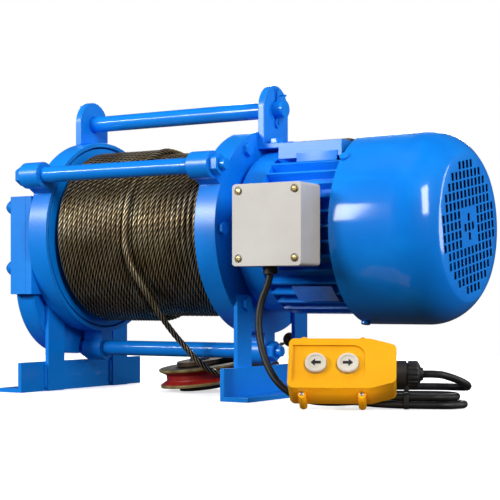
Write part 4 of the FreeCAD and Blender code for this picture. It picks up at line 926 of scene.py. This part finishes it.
CAP = [(0, -3.9), (10.5, -3.9), (10.5, 0.9), (10.2, 1.6), (9.5, 2), (8.2, 2), (7.5, 1.75),
       (7.1, 1.2), (0, 1.2)]
ARROW = [(-5, 0), (-0.6, 4), (-0.6, 1.5), (5, 1.5), (5, -1.5), (-0.6, -1.5), (-0.6, -4)]
ARROW_HEIGHT = 0.4
ARROW_RIM = 0.1
ARROW_BASE = 1.1
BUTTONS = (("left", 27.0, 1), ("right", 58.3, -1))
for side, along, sign in BUTTONS:
    spot = PENDANT @ at(along, BUTTON_UP, 0)
    add_piece(f"button_cap_{side}", [lathe(CAP, spot)], WHITE, f"{side}_button_body",
              "button_plastic", f"button_{side}")
    arrow = [(sign * x, y) for x, y in ARROW][::sign]
    add_piece(f"button_arrow_{side}",
              [plate(arrow, ARROW_HEIGHT, ARROW_RIM, spot @ at(0, 0, ARROW_BASE))],
              BLACK, f"{side}_button_body", "black_plastic")

GLAND = [(0, 0), (13, 0), (13, 0.6), (13, 9), (12.4, 9.6), (11.2, 9.8), (11.2, 11), (12.6, 11.2),
         (13, 11.8), (13, 20), (12.2, 20.8), (9.5, 22.5), (7, 23.5), (5.6, GLAND_LENGTH),
         (0, GLAND_LENGTH)]
GLAND_PLACE = PENDANT @ at(GLAND_ALONG, BUTTON_UP, GLAND_OUT) @ UP_THE_CORD
RIBBED_RINGS = (7, 8, 9)
add_piece("pendant_gland_ribbed",
          [lathe(GLAND, GLAND_PLACE, steps=96, ribs=16, rib_depth=0.9, ribbed=RIBBED_RINGS)],
          BLACK, FRAME_BODY, "black_plastic", "pendant_gland")


# Hanging bar: a split pin through each end, with bent legs

PIN_X = 140.0
BAR_HEIGHT = 324.0
PIN_WIRE = 1.15
PIN_ROUTE = [
    (1.5, -2.5, 24.5), (0.3, -1.6, 16), (0, -1, 8), (0, -1, -8), (0, -2, -12.5), (0, -3.8, -17),
    (0, 0, -21), (0, 3.8, -17), (0, 2, -12.5), (0, 1, -8), (0, 1, 9), (0.8, 1.4, 14),
    (4, 1.8, 17), (9.5, 2.4, 15),
]
pins = []
for sign in (-1, 1):
    route = [(sign * (PIN_X + x), y, BAR_HEIGHT + z) for x, y, z in PIN_ROUTE]
    pins.append(tube(route, PIN_WIRE))
add_piece("split_pins_bent", pins, BLUE, FRAME_BODY, "blue_paint", "split_pins")


# Motor: a dark plate on top and bare plates on its side

TOP_OUTLINE = rounded(left=179, low=-33, right=249, high=33, corner=3)
TOP_PAD_HEIGHT = 277.8
top_plate = plate(TOP_OUTLINE, height=4, rim=0.8, place=at(0, 0, TOP_PAD_HEIGHT))
add_piece("motor_top_cap", [top_plate], CAP_PLATE, FRAME_BODY, "dark_steel")
SIDE_OUTLINE = rounded(left=198, low=256, right=247, high=267, corner=1)
SIDE_Y = -58
side_plate = plate(SIDE_OUTLINE, height=1.2, rim=0.4, place=at(0, SIDE_Y, 0) @ FACING_FRONT)
add_piece("motor_side_plate", [side_plate], CAST, FRAME_BODY, "blue_paint")
low_plate = bent_plate(x_start=198, x_end=246, radius=92.4, wall=0.8, low=42, high=57)
add_piece("motor_low_plate", [low_plate], BRIGHT, FRAME_BODY, "bright_steel")


# Feet: a rippled weld bead up both edges of each leg

LEG_WIDTH = 30.0
BEAD_RISE = 0.6
BEAD_RADIUS = 2
RIPPLE = 0.4
RIPPLE_PITCH = 1.4
RIPPLE_START = 4.2
RIPPLES = 20
BEAD = [(0, 3), (1.4, 3.4)]
BEAD += [(BEAD_RADIUS + RIPPLE * (mark % 2), RIPPLE_START + RIPPLE_PITCH * mark)
         for mark in range(RIPPLES)]
BEAD += [(1.4, 32.4), (0, 33)]
beads = []
for side in ("left", "right"):
    legs_low, legs_high = box_in_mm(f"{side}_legs")
    x = legs_low[0] + BEAD_RISE if side == "left" else legs_high[0] - BEAD_RISE
    for y in (legs_low[1] - BEAD_RISE, legs_low[1] + LEG_WIDTH + BEAD_RISE,
              legs_high[1] - LEG_WIDTH - BEAD_RISE, legs_high[1] + BEAD_RISE):
        beads.append(lathe(BEAD, at(x, y, 0), steps=20))
add_piece("foot_welds", beads, BLUE, FRAME_BODY, "blue_paint")


# Cord, and the two ties round its hank

TIE_ALONG = 112
TIE_WIDTH = 5
TIE_RIM = 0.15
TIE_HALF = 5.2
TIE_WALL = 0.8
TIE_LOW = 0.3
OUTER_CORNER = 4.6
INNER_CORNER = 3.9
HANK = at(BACK_EDGE.x, BACK_EDGE.y, 0) @ Matrix.Rotation(PENDANT_YAW, 4, "Z")
TIE_PLACE = HANK @ at(TIE_ALONG, 0, 0) @ UP_THE_CORD
ties = []
for across, top in ((13, 17), (63, 24.7)):
    outer = rounded(across - TIE_HALF, TIE_LOW, across + TIE_HALF, top, OUTER_CORNER)
    half = TIE_HALF - TIE_WALL
    inner = rounded(across - half, TIE_LOW + TIE_WALL, across + half, top - TIE_WALL, INNER_CORNER)
    ties.append(plate(outer, TIE_WIDTH, TIE_RIM, TIE_PLACE, [inner[::-1]]))
hank_ties = add_piece("hank_ties", ties, BLACK, FRAME_BODY, "black_plastic")

cord_curve = spline("pendant_cord_line", CORD_ROUTE)
cord_points = curve_points(cord_curve)
make_round(cord_curve, CORD / 2, CORD_FACETS)
cord = add_object("pendant_cord_sheath", cord_curve)
dress(cord, RUBBER)
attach(cord, FRAME_BODY)
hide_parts("pendant_cord", "cord_hank")


# Solids of the frame: rounded edges, and finishes by slot

EDGE_WIDTH = 0.5
ROUNDING = {
    "pendant_front": 3.0, "pendant_back": 2.4, "terminal_box_lid": 1.3, "terminal_box_base": 1.0,
    "left_lug": 0.9, "right_lug": 0.9, "left_bracket": 0.8, "right_bracket": 0.8, "sheave": 0.8,
}
SLOT_OF_NODE = {row["node"]: row["material_slot"] for row in frame["record"]["subparts"]}
for name, slot in SLOT_OF_NODE.items():
    dress(NODES[name], SLOT_FINISH[slot])
    soften(NODES[name], ROUNDING.get(name, EDGE_WIDTH))


# Finishes of single nodes

SHEAVE_FACE = 10.4
SHEAVE_RIM = 48.6
COVER_END = 372.0
COVER_SKIN = 0.5
COVER_FACE = 76.0
ROUGH_NODES = ("left_bracket", "right_bracket", "gear_case", "gear_cover", "motor_end_shield",
               "motor_frame", "left_lug", "right_lug")


def make_sheave(name):
    """Red in the groove, bare dark faces, and pale outer rims that are a painted highlight."""
    made = Finish(name)
    height, span = made.around_axis(BLOCK_BASE * MM, BLOCK_FRAME.to_euler())
    red = made.tones(30, 4, DULL_MARKS, ("6E0E0A", "9C1712", "B83428"))
    steel = made.tones(45, 4, DULL_MARKS, ("1C1E14", "33352A", "565640"))
    # Painted highlight: the outer rims are pale tan all round.
    rim = made.tones(60, 4, (0.3, 0.7), ("5A4A26", "A8935A"))
    face = made.math("GREATER_THAN", made.math("ABSOLUTE", height), SHEAVE_FACE * MM)
    edge = made.math("GREATER_THAN", span, SHEAVE_RIM * MM)
    made.colour(made.mix(edge, made.mix(face, red, steel), rim))
    made.rough(made.noise(120, 3), 0.3, 0.5)
    made.bump(made.noise(400, 3), 0.15, BUMP_DEPTH)
    return made.material


def make_cover(name):
    """The blue paint outside, and painted shade inside: near black on the inside of the cover and on
    the walls of its slots.
    """
    made, paint = start_paint(name, BLUES, PAINT_GLOSS)
    height, span = made.around_axis((0, 0, AXIS_HEIGHT * MM), (0, math.radians(90), 0))
    # Painted shade: near black inside the cover and on the walls of its slots.
    within = made.math("LESS_THAN", height, (COVER_END - COVER_SKIN) * MM)
    inner = made.math("MULTIPLY", within, made.math("LESS_THAN", span, COVER_FACE * MM))
    return end_paint(made, made.mix(inner, paint, hue("06080C")))


dress(NODES["sheave"], make_sheave("red_sheave"))
dress(NODES["fan_cover"], make_cover("azure_cover"))
# Painted shade: the rear shield behind the fan takes the black plastic finish, so the inside of the
# cover looks dark.
dress(NODES["motor_rear_shield"], BLACK)
for name in ROUGH_NODES:
    dress(NODES[name], CAST)

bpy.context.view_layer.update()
